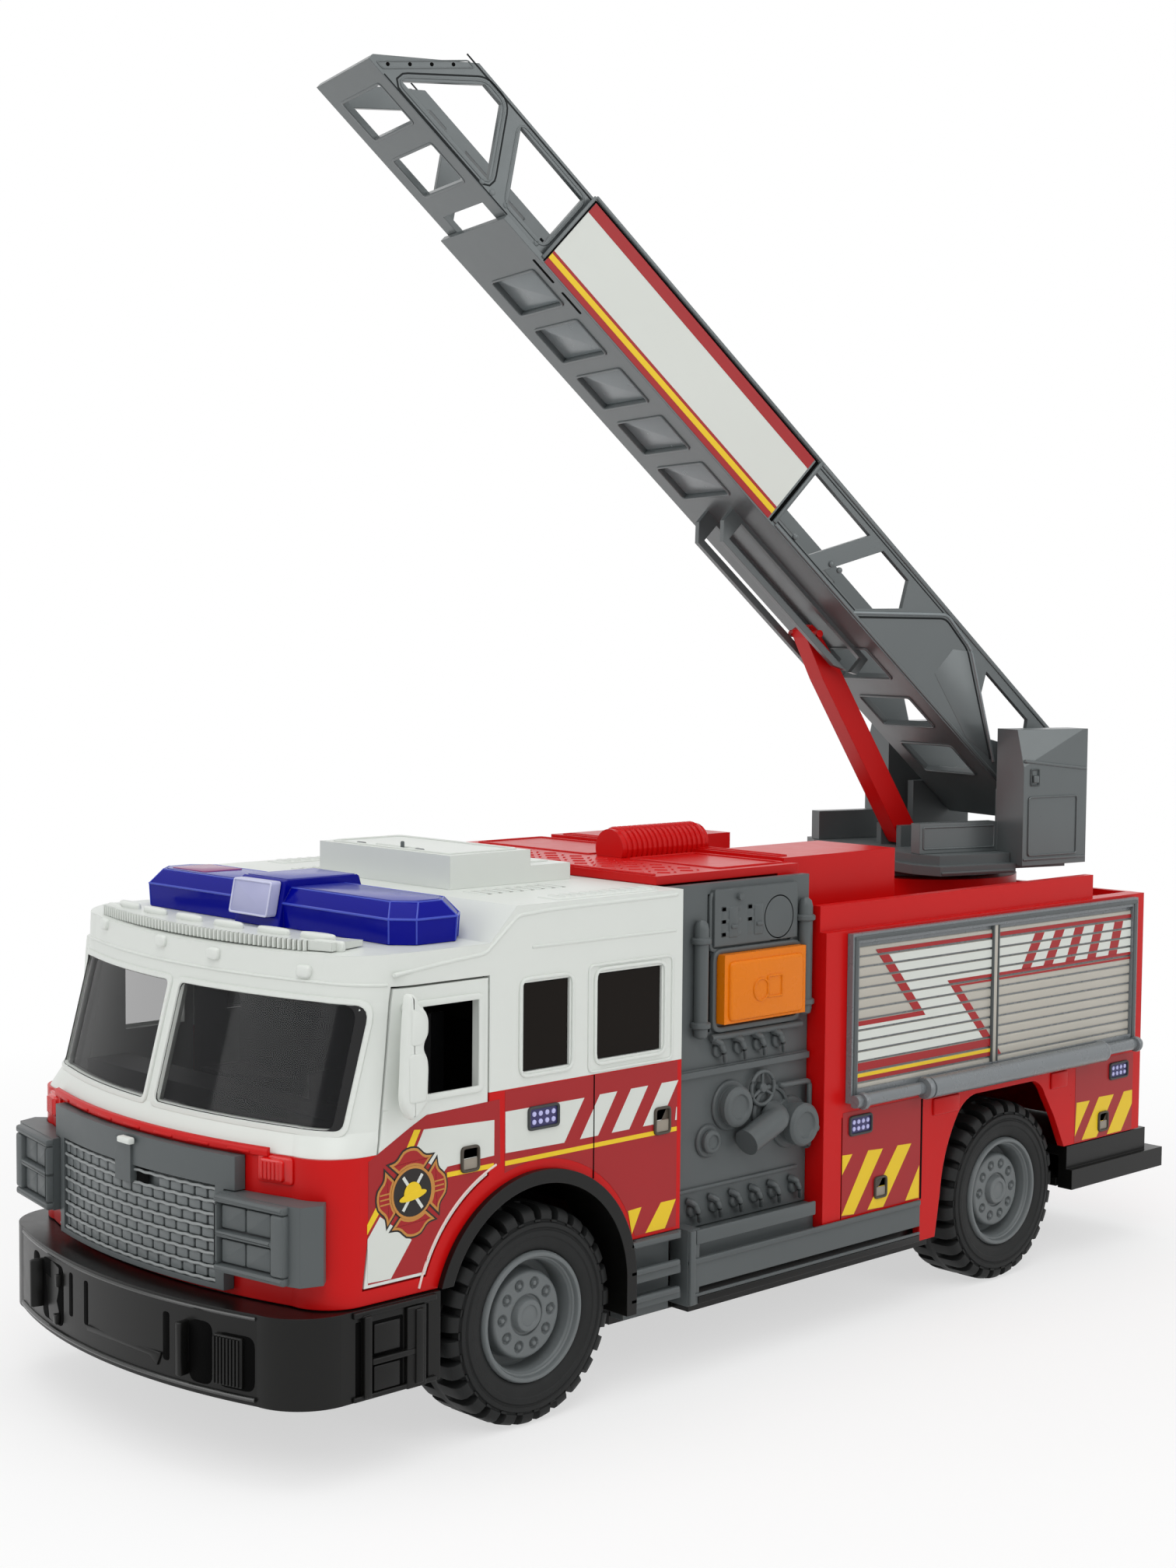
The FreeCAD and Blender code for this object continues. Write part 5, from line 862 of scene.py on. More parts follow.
def port(u, v, r, out, chamfer=0.8):
    """A capped port: flange, neck, a rounded cap with a dished face."""
    return lathe(PUMP, [(r + 1.2, -0.2), (r + 1.2, 0.5), (r + 0.9, 0.9), (r * 0.92, 0.95), (r * 0.9, out * 0.45),
                        (r, out * 0.5), (r, out - chamfer), (r - chamfer * 0.7, out - chamfer * 0.2),
                        (r - chamfer, out), (r * 0.62, out), (r * 0.56, out - 0.5), (r * 0.5, out - 0.6),
                        (0.2, out - 0.6)], 40, (u, v))


def hand_wheel(u, v, r):
    """A rim, three spokes and a hub."""
    spokes = [[(u + s * math.cos(a), v + s * math.sin(a), 1.2) for s in np.linspace(0.4, r, 5)]
              for a in np.radians((90, 210, 330))]
    return [on_pump([(*spot, 1.3) for spot in disc(u, v, r, 36)], 0.55, 10, closed=True),
            lathe(PUMP, [(1.3, 0.0), (1.3, 1.6), (1.0, 2.0), (0.2, 2.1)], 20, (u, v))] + [
                on_pump(spoke, 0.45, 8) for spoke in spokes]


def hook(u, v, size):
    """A small lever: a bent tapering arm over a round boss."""
    path = bent([PUMP(u + a * size, v + b * size, h) for a, b, h in (
        (-1.6, 2.6, 0.3), (-0.9, 2.2, 2.2), (0.2, -0.6, 2.6), (1.9, -3.0, 1.2))], 1.2)
    boss = [(1.9 * size, 0.0), (1.8 * size, 0.8), (1.3 * size, 1.3), (0.2, 1.4)]
    return [tube(path, np.linspace(1.0, 0.55, len(path)) * size, 10), lathe(PUMP, boss, 20, (u, v))]


def upright_tube(u, low, high):
    """A tube up the panel with a collar near each end."""
    tubes = [on_pump([(u, v, 1.5) for v in (low, low + 0.5, low + 1.6, high - 2.2, high - 0.8, high)],
                     [0.8, 1.6, 1.85, 1.85, 1.5, 0.6], 20)]
    return tubes + [on_pump([(u, v + t, 1.4) for t in (-0.8, -0.5, 0.5, 0.8)], [2.2, 2.6, 2.6, 2.2], 20)
                    for v in (low + 3.4, high - 5.2)]


def pump_fittings():
    """Ports, a barrel, levers, pipes and the frames round the button, the gauges and the clock."""
    barrel = bent([PUMP(-5.0, 61.0, 0.6), PUMP(-5.0, 59.8, 3.6), PUMP(-17.6, 55.4, 4.2)])
    handle = bent([PUMP(*point) for point in (
        (-1.6, 67.5, 0.0), (-1.6, 67.5, 1.8), (8.9, 67.5, 1.8), (8.9, 50.2, 1.8), (8.9, 50.2, 0.0))], 1.6)
    shapes = [
        port(-19.9, 64.7, 5.2, 4.2), port(3.0, 57.2, 5.6, 6.2), port(-27.8, 56.7, 3.0, 2.6, 0.5),
        lathe(PUMP, [(6.9, 0.0), (6.9, 0.7), (6.2, 1.1), (5.6, 0.9), (5.5, 0.3), (0.2, 0.3)], 40, (-4.6, 61.2)),
        tube(barrel, [3.3] * (len(barrel) - 1) + [3.5], 28), tube(handle, 0.75),
        lathe(PUMP, [(1.2, 0.0), (1.2, 5.0), (0.9, 5.4), (0.2, 5.4)], 16, (8.2, 55.6)),
        rim_of(PUMP, rect(-28.2, 3.4, 103.9, 119.2, 2.2), 1.0, 0.7),
        rim_of(PUMP, rect(-27.4, 6.0, 83.6, 104.8, 3.2), 1.5, 1.3, 0.0, 0.5),
        rim_of(PUMP, disc(*CLOCK, 5.9, 44), 0.9, 1.2), rim_of(PUMP, disc(*CLOCK, 4.3, 40), 0.5, 0.5),
        on_pump([(-27.6, 82.6, 0.9), (6.2, 82.6, 0.9)], 0.9), on_pump([(-18.2, 117.4, 0.2), (-18.2, 117.4, 2.2)], 0.9),
        wedge(lambda u, v, h: PUMP(CLOCK[0] + u * 0.8 - v * 0.6, CLOCK[1] + u * 0.6 + v * 0.8, h),
              [(-0.45, 0), (0.45, 0), (0.3, 0.9), (-0.3, 0.9)], (-0.8, 2.6))]
    shapes += blocks(PUMP, [(-42.2, 9.4, 74.5, 75.3, 0.0, 0.7), (-42.2, 6.0, 44.6, 45.6, 0.0, 0.8)])
    shapes += hand_wheel(-8.6, 67.7, 4.3) + upright_tube(-32.0, 83.0, 112.6) + upright_tube(6.9, 85.0, 115.4)
    for u in (-33.1, -25.3, -17.7, -10.2, -3.2, 4.8):
        shapes += hook(u, 40.0, 0.95)
    for u in (-24.5, -16.9, -9.6, -2.4):
        shapes += hook(u, 79.2, 1.0)
    for u in (-25.0, -15.6):
        shapes.append(rim_of(PUMP, rect(u, u + 7.2, 105.8, 116.4, 0.5), 0.45, 0.5))
        shapes += blocks(PUMP, [(u + 3.0, u + 6.4, 107.2, 115.2, 0.0, 1.5, 0.5),
                                (u + 3.6, u + 5.8, 109.6, 110.6, 1.4, 2.0)])
    return shapes


both("pump_fittings", pump_fittings(), GREY)
both("gauge_marks", blocks(PUMP, [(u, u + 2.2, 107.4, 115.4, 0.0, 1.3, 0.4) for u in (-24.8, -15.2)] + [
    (u, u + long, v, v + 1.7, 0.0, 1.3, 0.4) for u, long, levels in (
        (-24.8, 7.6, (107.4, 110.6, 113.7)), (-15.2, 5.6, (110.6, 113.7))) for v in levels]), GREY)
# painted shade: thin dark rings in the grooves round the gauges and the clock
both("gauge_grooves", [rim_of(PUMP, outline, 0.4, 0.06, -0.02, 0.03)
                       for outline in (rect(-26.6, -8.6, 105.6, 117.0, 0.8), disc(*CLOCK, 6.5, 44))], GROOVE_SHADE)
both("pump_shadows", marks(PUMP, [(-24.6, -22.6, 106.4, 115.8, 0.3), (-15.2, -13.2, 106.4, 115.8, 0.3),
                                  (-42.0, -40.6, 35.6, 74.0, 0.2), (-28.4, -27.2, 84.0, 118.6, 0.2)]), PIT)
piece("sound_button_face", [relief(BUTTON, rect(-24.0, 3.6, 86.6, 101.6, 1.6), 0.9, -0.1, 0.8, 5)]
      + [rim_of(BUTTON, outline, 0.5, 0.35, 0.8, 0.2) for outline in (
          disc(-12.8, 93.8, 3.0, 28), rect(-10.6, -4.8, 91.4, 97.2, 0.6))], ORANGE)


# ---------------------------------------------------------------------------------------------
# Cab roof: windshield border, brow lamps, visor, light bar, louvres, roof unit
# ---------------------------------------------------------------------------------------------
def cab_plan():
    """The upper cab's plan line from its right side round the bowed front to its left side."""
    half, low_y, r = 46.1, -148.7, 157.45
    corner_x, corner_y, corner_r = 44.32, -133.6, 15.2
    x = np.linspace(0.0, half, 40)
    bow = np.stack([x, low_y - (np.sqrt(r * r - x * x) - math.sqrt(r * r - half * half))], 1)
    t = np.radians(np.linspace(-83.3, -2.6, 12))[1:]
    corner = np.stack([corner_x + corner_r * np.cos(t), corner_y + corner_r * np.sin(t)], 1)
    left = np.concatenate([bow, corner, [[59.5, -110.0]]])
    return np.concatenate([left[:0:-1] * [-1.0, 1.0], left])


WRAP = wrapped(cab_plan(), lambda v: np.interp(v, [75.6, 103.0, 122.4], [0.0, 7.4, 8.4]))


def pane_outline(out, edge, radii=(1.6, 1.8, 3.8, 1.6)):
    """The left pane's outline grown by out, with its outer edge moved by edge, more at its top."""
    u0, u1, v0, v1 = 2.5 - out, 56.3 + out + edge, 76.2 - out, 102.4 + out
    return rounded([(u0, v0), (u1, v0), (u1 + 0.2 * edge, v1), (u0, v1)], radii, 5)


both("windshield_gasket", [ring(WRAP, pane_outline(0.3, 1.7), pane_outline(0.0, -0.3), -0.1, 0.07, 0.03)], GASKET)
both("windshield_border", [
    ring(WRAP, pane_outline(1.5, 1.7, (2.2, 2.6, 5.0, 2.2)), pane_outline(0.15, 1.7), -0.1, 0.5)], WHITE)
piece("brow_lamps", [relief(WRAP, rect(u - 2.0, u + 2.0, v - 1.4, v + 1.4, 1.2), 1.2, -0.2, 0.6, 4)
                     for u, v in ((-38.4, 111.5), (-6.5, 111.1), (14.0, 110.3), (41.8, 108.9))], WHITE)
piece("brow_crease", [tube(put(WRAP, np.linspace(-62.0, 62.0, 125), 106.8, -0.05), 0.4, 8)], WHITE)
VISOR_FRONT = bowed(46.0, -138.6, 6.4)
piece("visor_ribs", [
    wedge(VISOR_FRONT, [(u, -0.3), (u + 0.85, -0.3), (u + 0.7, 0.75), (u + 0.15, 0.75)], (113.0, 115.3))
    for u in np.arange(-45.0, 39.4, 1.5)], WHITE)
# painted shade: a grey strip behind the ribs, showing in the gaps between them
piece("visor_rib_back", [carried(VISOR_FRONT, np.linspace(-45.6, 40.0, 60),
                                 [(112.9, -0.3), (112.9, 0.12), (115.2, 0.12), (115.2, -0.3)])], GAP_SHADE)
both("visor_ends", [relief(VISOR_FRONT, rect(40.0, 48.6, 112.9, 115.5, 0.9), 1.1, -2.4, 0.5, 4)], WHITE)
piece("visor_lugs", [
    relief(roof(115.2), spun(disc(0, 0, 1, 28) * (5.4, 1.7), -0.02 + 0.004 * x, (x, -139.3 + 0.0021 * x * x)),
           1.3, -0.05, 0.7, 4) for x in (-38, -24, -8, 8, 24, 38)], WHITE)

BAR_FRONT, BAR_REAR, BAR_HALF, BAR_CORNER = -124.4, -103.9, 52.3, 4.4
BAR_FOOT, BAR_CREASE, BAR_TOP = 113.7, 119.2, 123.0


def bar_line(d, z):
    """A wing's outline, d inside the plan of the bar's crease: from the middle round the outer end."""
    f, r, h, c = BAR_FRONT + d, BAR_REAR - d, BAR_HALF - d, BAR_CORNER
    return [(8.4, f, z), (h - c, f, z), (h, f + c, z), (h, r - c, z), (h - c, r, z), (8.4, r, z)]


def bar_middle():
    """The raised middle: a side profile carried across, with its edges drawn in a little at both ends."""
    profile = np.array([(-126.0, BAR_FOOT), (-104.2, BAR_FOOT), (-104.2, 118.8), (-100.4, 119.4), (-102.0, 124.4),
                        (-102.6, 124.8), (-123.2, 124.8), (-123.8, 124.4)])
    centre = profile.mean(0)
    return skin(np.stack([np.column_stack([np.full(len(profile), x), centre + (profile - centre) * k])
                          for x, k in ((-8.7, 0.98), (-8.5, 1.0), (8.5, 1.0), (8.7, 0.98))]))


# a wing's outline goes straight up to the crease, leans in to the top's edge and rounds over
wing = [skin(np.array([bar_line(d, z) for d, z in (
    (0.25, BAR_FOOT), (0.25, 114.0), (0.0, BAR_CREASE), (0.15, 119.6), (2.2, 122.7), (2.6, 122.95), (3.0, BAR_TOP))]))]
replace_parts(piece("light_bar_shell", wing + flipped(wing) + [bar_middle()], BLUE, smooth=20.0), "light_bar")
crease, brink, foot = bar_line(0.0, 119.4), bar_line(2.5, 122.9), bar_line(0.25, 113.9)
corner_lines = [line for other in (brink, foot) for line in list(zip(crease, other))[1:5]]
# painted highlight: thin tubes in a lighter blue along the crease, the top's edge and the corners
both("light_bar_crease", [tube(crease, 0.3, 8), tube(brink, 0.22, 8)] + [tube(line, 0.2, 6) for line in corner_lines],
     BLUE_EDGE_HIGHLIGHT)


def reflect(u, v, h):
    """The front of the bar's middle, which leans back."""
    return u, -127.6 + (v - 116.2) * 0.2 - h, v


reflector = rect(-7.8, 7.4, 116.2, 124.4, 0.8)
piece("light_bar_reflector", [relief(reflect, reflector, 2.6, -2.0, 0.4)], REFLECTOR)
piece("light_bar_reflector_rim", [rim_of(reflect, reflector, 0.5, 0.35, 0.5, 0.15)], REFLECTOR_RIM)
wing_top = [relief(roof(BAR_TOP), [
    (9.6, BAR_FRONT + 3.2), (45.0, BAR_FRONT + 3.2), (49.0, BAR_FRONT + 6.8), (49.0, BAR_REAR - 6.8),
    (45.0, BAR_REAR - 3.4), (9.6, BAR_REAR - 3.4)], 0.25, -0.05, 0.2)]
middle_top = relief(roof(124.8), rect(-8.2, 8.2, BAR_FRONT + 1.8, BAR_REAR + 1.0, 0.5), 0.2, -0.05, 0.15)
# painted reflection: the top faces of the wings and the middle in a lighter blue
piece("light_bar_tops", wing_top + flipped(wing_top) + [middle_top], BLUE_TOP_REFLECTION)
piece("light_bar_patch", [
    relief(roof(BAR_TOP), rect(-44.6, -30.0, BAR_FRONT + 4.4, BAR_REAR - 4.6, 0.8), 0.32, 0.1, 0.2)], MAGENTA)

TOP, UNIT = roof(121.4), roof(129.6)
louvre_rows = np.arange(-88.0, -61.0, 3.4)
both("roof_louvres", [relief(TOP, [(30.4, y), (38.0, y), (38.4, y + 1.1), (30.8, y + 1.1)], 0.35, -0.1, 0.2)
                      for y in louvre_rows], WHITE)
# painted shade: grey marks in the gaps between the louvres
both("roof_louvre_gaps", [mark(TOP, rect(30.6, 38.2, y + 1.2, y + 2.6, 0.3, 2)) for y in louvre_rows], GAP_SHADE)
both("roof_pads", [relief(TOP, rect(51.0, 56.0, y, y + 1.9, 0.5), 0.7, -0.1, 0.5) for y in np.arange(-80.0, -50.0, 3.3)]
     + [relief(TOP, rect(49.6, 57.4, -82.0, -48.8, 0.9), 0.35, -0.1)], WHITE)
both("cab_side_lines", blocks(side(58.3), [(-92.0, -45.0, 111.2, 112.0, 0.6, 1.45)]), WHITE)
piece("roof_unit_lines", [rim_of(UNIT, rect(-23.4, 23.4, -86.4, -63.6, 2.4), 0.8, 0.4)]
      + blocks(UNIT, [(-8.0, 8.0, -84.0, -82.8, 0.0, 0.5)])
      + blocks(roof(125.6), [(-20.0, 20.0, -60.0, -51.0, 0.0, 0.4)]), WHITE)
piece("roof_unit_pins", [lathe(UNIT, [(0.5, 0), (0.5, 1.5), (0.35, 1.8), (0.1, 1.85)], 12, (4.0, -85.0))]
      + blocks(UNIT, [(x, x + 3.0, -85.4, -84.4, 0.0, 0.5) for x in (-14.0, 9.0)]), GREY)

# ---------------------------------------------------------------------------------------------
# Mirrors
# ---------------------------------------------------------------------------------------------
MIRROR = side(63.0)


def mirror_part(corners, *sizes):
    """A pad on the mirror with rounded corners; the corners' y values are drawn together to make it slim."""
    return relief(MIRROR, rounded([(-130.2 + (y + 130.9) * 0.69, z) for y, z in corners], 0.9, 3), *sizes)


# a plate with two lobes, crowned on its outer face, over two short arms
mirror = [
    mirror_part([(-133.9, 105.3), (-132.2, 105.6), (-130.4, 104.5), (-129.6, 102.6), (-127.4, 101.9), (-125.9, 99.8),
                 (-125.9, 96.5), (-127.6, 94.6), (-127.8, 93.2), (-126.2, 91.2), (-125.8, 89.0), (-126.2, 81.4),
                 (-128.2, 80.0), (-130.1, 78.7), (-132.1, 78.0), (-133.6, 79.0), (-135.4, 81.0), (-136.0, 83.0),
                 (-135.6, 88.0), (-135.2, 95.0), (-134.6, 101.0)], 2.4, 0.0, 1.1, 6),
    mirror_part([(-134.2, 82.0), (-127.4, 82.0), (-127.0, 90.4), (-129.2, 92.6), (-134.2, 92.6)], 0.5, 2.2, 0.45, 4),
    mirror_part([(-133.6, 94.4), (-129.0, 94.4), (-127.0, 97.2), (-127.6, 100.4), (-131.4, 102.0), (-133.4, 102.6)],
                0.4, 2.2, 0.4, 4)]
mirror += [tube([(x, -128.7, z) for x in (59.4, 60.5, 62.0, 63.8)], 1.3, 16) for z in (81.0, 101.6)]
for shell, hand in zip(both("mirror_shell", mirror, WHITE, DOOR), ("left", "right")):
    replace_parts(shell, f"mirror_{hand}")

# ---------------------------------------------------------------------------------------------
# Deck, hose reel and floor
# ---------------------------------------------------------------------------------------------
DECK, FLOOR = roof(123.6), roof(104.4)


def tread(place, us, vs, half_long, half_wide, angle):
    """A chequer of short raised bars, turned by the angle one way and the other."""
    bar = rect(-half_long, half_long, -half_wide, half_wide)
    return [relief(place, spun(bar, angle if (i + j) % 2 else -angle, (u, v)), 0.3, -0.05, 0.2, 2)
            for i, u in enumerate(us) for j, v in enumerate(vs)]


piece("deck_tread", tread(DECK, np.arange(-45.0, 46.0, 5.0), np.arange(-39.0, -18.5, 4.1), 1.7, 0.35, 0.8), RED)
piece("deck_panels", [rim_of(DECK, rect(14.0, 47.0, -17.0, 8.0, 1.5), 0.8, 0.4),
                      rim_of(DECK, rect(-47.0, -1.0, -17.0, 8.0, 1.5), 0.8, 0.4),
                      block(DECK, (-48.0, 48.0), (-41.6, -40.6), (0.0, 0.5)),
                      rim_of(roof(124.6), rect(-42.0, 42.0, 11.4, 15.0, 0.8), 0.6, 0.4)], RED)
# close turns of hose along the reel: rings whose radius follows its barrel
piece("reel_rings", [tube([(x, y, z) for x, z in disc(7.0, 125.8, 4.95, 28)], 0.85, 8, closed=True)
                     for y in np.arange(-14.6, 15.4, 1.9)], RED)
piece("turntable_tread", tread(FLOOR, np.arange(-50.0, 51.0, 3.2), np.arange(62.0, 91.0, 3.2), 1.1, 0.3, 0.75), RED)


# ---------------------------------------------------------------------------------------------
# Turntable and cabinets
# ---------------------------------------------------------------------------------------------
def cabinet_panels(sign):
    """A framed door with a latch on a cabinet's outer side, a rounded top edge, and a frame on the low side
    of the platform; sign is 1 on the left and -1 on the right."""
    def outer(u, v, h):
        """The cabinet's outer side, which draws in towards its rear end."""
        return turned(sign * (40.6 - (u - 7.0) * 3.6 / 27.0 + h), u, v)

    def low(u, v, h):
        """The platform's low side."""
        return turned(sign * (28.6 + h), u, v)

    return blocks(outer, [(7.4, 33.6, 116.4, 117.2, 0.0, 0.4, 0.2), (10.6, 12.8, 139.6, 141.8, 0.0, 0.9)]) + [
        rim_of(outer, rect(9.0, 30.0, 117.6, 135.6, 1.2), 0.6, 0.45),
        rim_of(outer, rect(9.8, 13.4, 138.6, 143.8, 0.5), 0.5, 0.5),
        tube([outer(u, v, 0.0) for u, v in ((7.4, 146.2), (20.0, 144.8), (33.4, 143.4))], 0.5, 8),
        rim_of(low, rect(-20.6, 6.0, 119.6, 126.6, 0.8), 0.6, 0.3)]


piece("cabinet_panels", cabinet_panels(1) + cabinet_panels(-1), LADDER_GREY, "turntable")
piece("turntable_lines", blocks(lambda u, v, h: turned(38.0 + h, u, v), [(-20.6, 6.0, 113.2, 114.0, 0.0, 0.4, 0.2)]),
      GREY, "turntable")

# ---------------------------------------------------------------------------------------------
# Ladder
# ---------------------------------------------------------------------------------------------
HALF_WIDTH = {"ladder": 20.3, "fly": 18.4}


def on_ladder(name, make, look, body="ladder"):
    """One piece that holds what make gives for both sides: u towards the tip, v up from the underside."""
    shapes = []
    for sign in (1, -1):
        shapes += make(lambda u, v, h, sign=sign: ladder_point(sign * (HALF_WIDTH[body] + h), u, v))
    piece(name, shapes, look, body)


def under(drop):
    """The underside, seen from below, at a height above the ladder's own."""
    return lambda u, v, h: ladder_point(u, v, drop - h)


def ridges(lines, radius, drop=0.0):
    """Thin round ridges along lines of (u, v) points on a side."""
    return lambda place: [tube(bent([place(u, v, -drop) for u, v in line]), radius, 8) for line in lines]


for name, rows, level, look in (
        ("white", [(4.9, 20.2)], 0, FOIL_WHITE), ("red", [(20.2, 23.7), (0.5, 2.3)], 1, FOIL_RED),
        ("yellow", [(2.3, 4.0)], 2, FOIL_YELLOW), ("line", [(4.0, 4.9)], 1, FOIL_RED)):
    on_ladder("ladder_sticker_" + name,
              lambda p: [decal(p, rect(126.0, 224.0, v0, v1), level) for v0, v1 in rows], look)
on_ladder("ladder_panel_frame", lambda p: blocks(p, [
    (224.6, 225.6, 1.0, 24.8, 0.0, 0.5, 0.2), (123.0, 124.2, 1.0, 24.8, 0.0, 0.5, 0.2),
    (124.0, 225.0, 24.4, 25.5, 0.0, 0.5), (-4.0, 123.0, 24.2, 25.4, 0.0, 0.4),
    (-4.0, 123.0, 0.4, 1.5, 0.0, 0.4)]), LADDER_GREY)
# painted shade: thin near-black marks in the grooves beside the sticker panel
on_ladder("ladder_panel_grooves", lambda p: marks(p, [
    (124.3, 125.4, 0.6, 24.2), (224.1, 224.6, 0.6, 24.2), (125.0, 224.5, 23.7, 24.3)]), PIT)
fly_hole = rounded([(283.5, 4.8), (267.2, 22.4), (260.5, 22.4), (249.5, 4.8)], 2.0)
fly_ribs = [shrunk(fly_hole, -1.3),
            shrunk(rounded([(241.5, 4.8), (252.5, 22.4), (227.0, 22.4), (227.0, 4.8)], 2.0), -1.3)]
fly_tip = shrunk(rounded([(291.6, 3.1), (274.6, 23.2), (272.2, 23.2), (289.2, 3.1)], 0.6), -0.2)
on_ladder("fly_side_ribs", lambda p: [rim_of(p, outline, 0.55, 0.12, 0.0, 0.05) for outline in fly_ribs]
          + [rim_of(p, fly_tip, 0.4, 0.12, 0.0, 0.05)], LADDER_GREY, "fly")
# painted shade: dark lines and a ring in the fly's grooves, and dots in the near-black shade colour
on_ladder("fly_side_grooves", lambda p: marks(p, [(224.0, 276.0, 24.0, 24.5), (224.0, 288.0, 2.2, 2.6)])
          + [rim_of(p, shrunk(fly_hole, -2.3), 0.5, 0.06, -0.02, 0.03)], GROOVE_SHADE, "fly")
on_ladder("fly_side_dots", lambda p: [mark(p, disc(289.0 - 4.1 * k, 5.0 + 4.75 * k, 0.55, 12)) for k in range(4)],
          PIT, "fly")
for body, profile, spots in (
        ("fly", [(0.9, -0.1), (0.88, 0.05), (0.5, 0.12), (0.1, 0.12)],
         [(250.6, 3.4), (246.6, 3.4), (228.6, 3.4), (241.6, 4.0)]),
        ("ladder", [(0.9, -0.1), (0.85, 0.5), (0.5, 0.7), (0.1, 0.7)], [(115.6, 3.0), (101.2, 6.0), (98.0, 6.6)])):
    on_ladder(body + "_bolts", lambda p: [lathe(p, profile, 14, spot) for spot in spots], LADDER_GREY, body)
rungs = [137.0 + 18.4 * k for k in range(5)]
floor_holes = [(s, 12.8) for s in rungs] + [(15.0 + 21.8 * k, 13.4) for k in range(3)]
piece("ladder_floor_rims", [rim_of(under(0.0), rect(-13.4, 13.4, s - 0.8, s + long, 1.6), 0.7, 0.45)
                            for s, long in floor_holes], LADDER_GREY, "ladder")
# painted shade: near-black marks in the floor's two slots
piece("ladder_floor_slots", marks(under(0.0), [(16.6, 17.9, 206.0, 214.0, 0.5), (16.6, 17.9, 217.4, 226.0, 0.5)]),
      PIT, "ladder")
piece("fly_floor_rims", [rim_of(under(2.0), rect(-13.4, 13.4, s - 0.8, s + 13.4, 1.6), 0.7, 0.12, 0.0, 0.05)
                         for s in (273.5, 253.2)], LADDER_GREY, "fly")
gusset = [(52.0, 8.0), (52.0, 18.0), (46.6, 22.2), (17.4, 3.8), (30.0, 2.0)]
on_ladder("gusset_plates", lambda p: [relief(p, gusset, 1.1, -1.0, 0.2)], LADDER_GREY)
# painted highlight on the gusset's ridges in the lighter grey, painted shade in the dark grooves beside them
on_ladder("gusset_ridges", ridges([[(86.0, 1.0), (60.6, 24.0), (47.0, 22.6), (17.0, 3.6)]], 0.55, 0.1), LADDER_HIGHLIGHT)
on_ladder("gusset_grooves", ridges([[(84.6, 0.6), (60.2, 22.8), (48.0, 21.6), (18.6, 3.4)]], 0.3), GROOVE_SHADE)
# painted highlight along the rails' ridges in the lighter grey, painted shade in their dark grooves
on_ladder("ladder_rail_ridges", ridges([[(-4.0, v), (60.0, v), (123.0, v)] for v in (24.8, 0.9)], 0.32, 0.05),
          LADDER_HIGHLIGHT)
on_ladder("ladder_rail_grooves", lambda p: marks(p, [(62.0, 123.0, 23.2, 23.6), (86.0, 123.0, 1.8, 2.2)]), GROOVE_SHADE)
# painted reflection: the floor panels in the lighter grey, for the pale floor they reflect
piece("ladder_floor_panels", [relief(under(0.0), rect(-12.6, 12.6, s, s + 12.0, 1.4), 0.5, -1.6, 0.2) for s in rungs],
      LADDER_HIGHLIGHT, "ladder")

# ---------------------------------------------------------------------------------------------
# Camera, light, floor
# ---------------------------------------------------------------------------------------------
AZIMUTH, PITCH, ROLL = math.radians(46.396), math.radians(3.769), math.radians(0.497)
CAMERA_AT = np.array([442.05, -439.30, 182.90])


def set_at(obj, x, y, z, place):
    """Link an object whose own axes are x, y and z, at a place in metres."""
    obj.matrix_world = Matrix([[*row, 0.0] for row in np.stack([x, y, z]).tolist()] + [[*place, 1.0]]).transposed()
    bpy.context.scene.collection.objects.link(obj)
    return obj


ahead = np.array([-math.sin(AZIMUTH) * math.cos(PITCH), math.cos(AZIMUTH) * math.cos(PITCH), -math.sin(PITCH)])
level = np.array([math.cos(AZIMUTH), math.sin(AZIMUTH), 0.0])
upright = np.cross(level, ahead)
camera = set_at(bpy.data.objects.new("camera", bpy.data.cameras.new("camera")),
                math.cos(ROLL) * level + math.sin(ROLL) * upright, math.cos(ROLL) * upright - math.sin(ROLL) * level,
                -ahead, CAMERA_AT * MM)
camera.data.lens, camera.data.sensor_width = 52.57, 36.0
camera.data.clip_start, camera.data.clip_end = 0.05, 20.0
bpy.context.scene.camera = camera

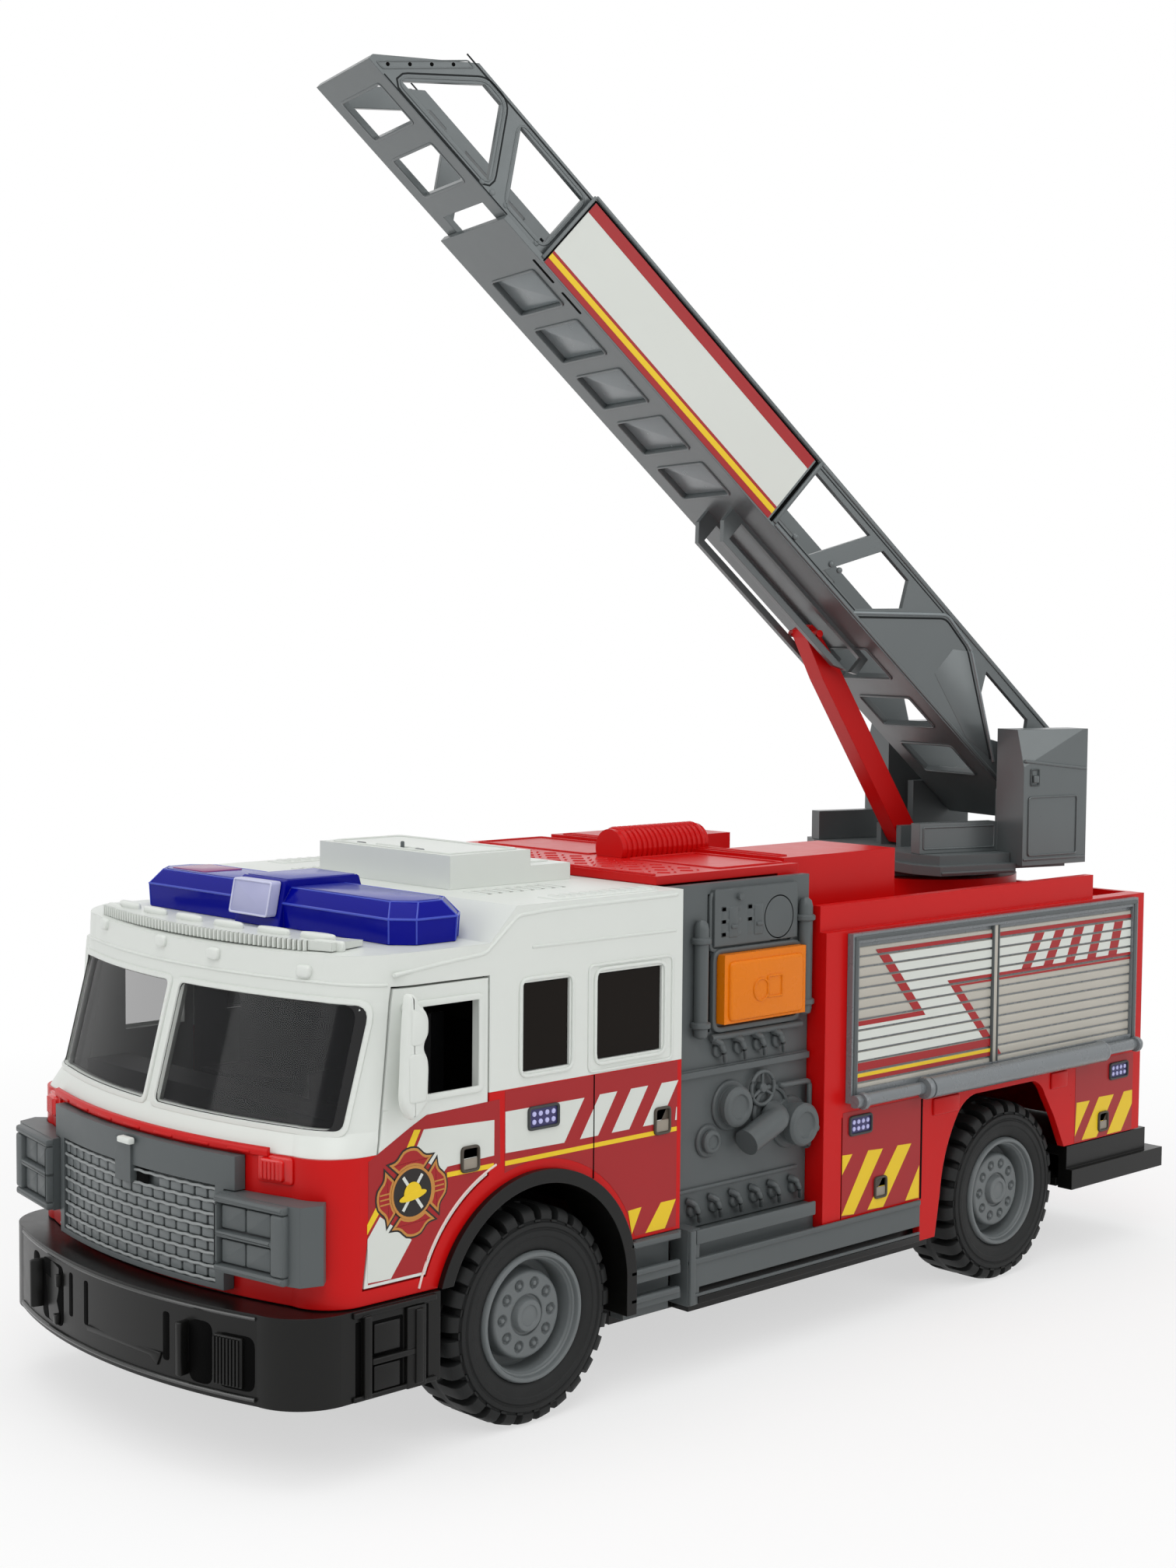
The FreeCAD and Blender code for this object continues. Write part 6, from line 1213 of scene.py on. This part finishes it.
# soft square lamps that face the toy: name, place, size, watts
for name, place, size, watts in (("overhead", (0.15, -0.1, 1.75), 1.5, 11.0), ("key", (0.9, -1.0, 1.35), 0.9, 7.0),
                                 ("side", (1.5, 0.5, 0.8), 1.0, 5.5), ("front", (-0.6, -1.5, 0.7), 0.9, 5.0)):
    data = bpy.data.lights.new(name, "AREA")
    data.shape, data.size, data.energy = "SQUARE", size, watts
    z = np.array(place) - (0.0, 0.0, 0.1)
    z /= np.linalg.norm(z)
    x = np.cross([0, 0, 1.0], z)
    x /= np.linalg.norm(x)
    set_at(bpy.data.objects.new(name, data), x, np.cross(z, x), z, place)


def clearly_seen(tree):
    """1 for what the camera, mirrors and glass see, 0 for the rest."""
    rays = tree.nodes.new("ShaderNodeLightPath").outputs
    seen = maths(tree, "MAXIMUM", rays["Is Camera Ray"], rays["Is Glossy Ray"])
    return maths(tree, "MAXIMUM", seen, rays["Is Transmission Ray"])


def world():
    """White for what is clearly seen; a plain grey-white for the rest."""
    studio = bpy.data.worlds.new("studio")
    bpy.context.scene.world = studio
    studio.use_nodes = True
    tree = studio.node_tree
    strength = added(tree, "MapRange", {"To Min": 0.42, "To Max": 1.0, "Value": clearly_seen(tree)}).outputs[0]
    fed(tree, tree.nodes["Background"], {"Strength": strength, "Color": (1, 1, 1, 1)})


def floor():
    """A wide pale floor: for the camera part of it glows white, so its far edge meets the background and the
    object's shadow stays."""
    half, depth = 8.0, 0.00002
    mesh = bpy.data.meshes.new("floor")
    corners = [(x, y, -depth) for x, y in ((-half, -half), (half, -half), (half, half), (-half, half))]
    mesh.from_pydata(corners, [], [[0, 1, 2, 3]])
    mat, tree, shader = bare("floor")
    fed(tree, shader, {"Base Color": (0.93, 0.93, 0.93, 1), "Roughness": 0.9, "Specular IOR Level": 0.1})
    glow = added(tree, "Emission", {"Color": (1, 1, 1, 1)})
    away = added(tree, "VectorMath", {0: own_place(tree)}, operation="LENGTH").outputs["Value"]
    glowing = added(tree, "MapRange", {"From Min": 0.15, "From Max": 0.45, "To Min": 0.6, "To Max": 1.0, "Value": away})
    part = maths(tree, "MULTIPLY", glowing.outputs[0], clearly_seen(tree))
    mix = added(tree, "MixShader", {0: part, 1: shader.outputs[0], 2: glow.outputs[0]})
    fed(tree, tree.nodes["Material Output"], {"Surface": mix.outputs[0]})
    mesh.materials.append(mat)
    obj = bpy.data.objects.new("floor", mesh)
    bpy.context.scene.collection.objects.link(obj)


world()
floor()
bpy.context.scene.view_settings.view_transform = "Standard"

bpy.context.view_layer.update()
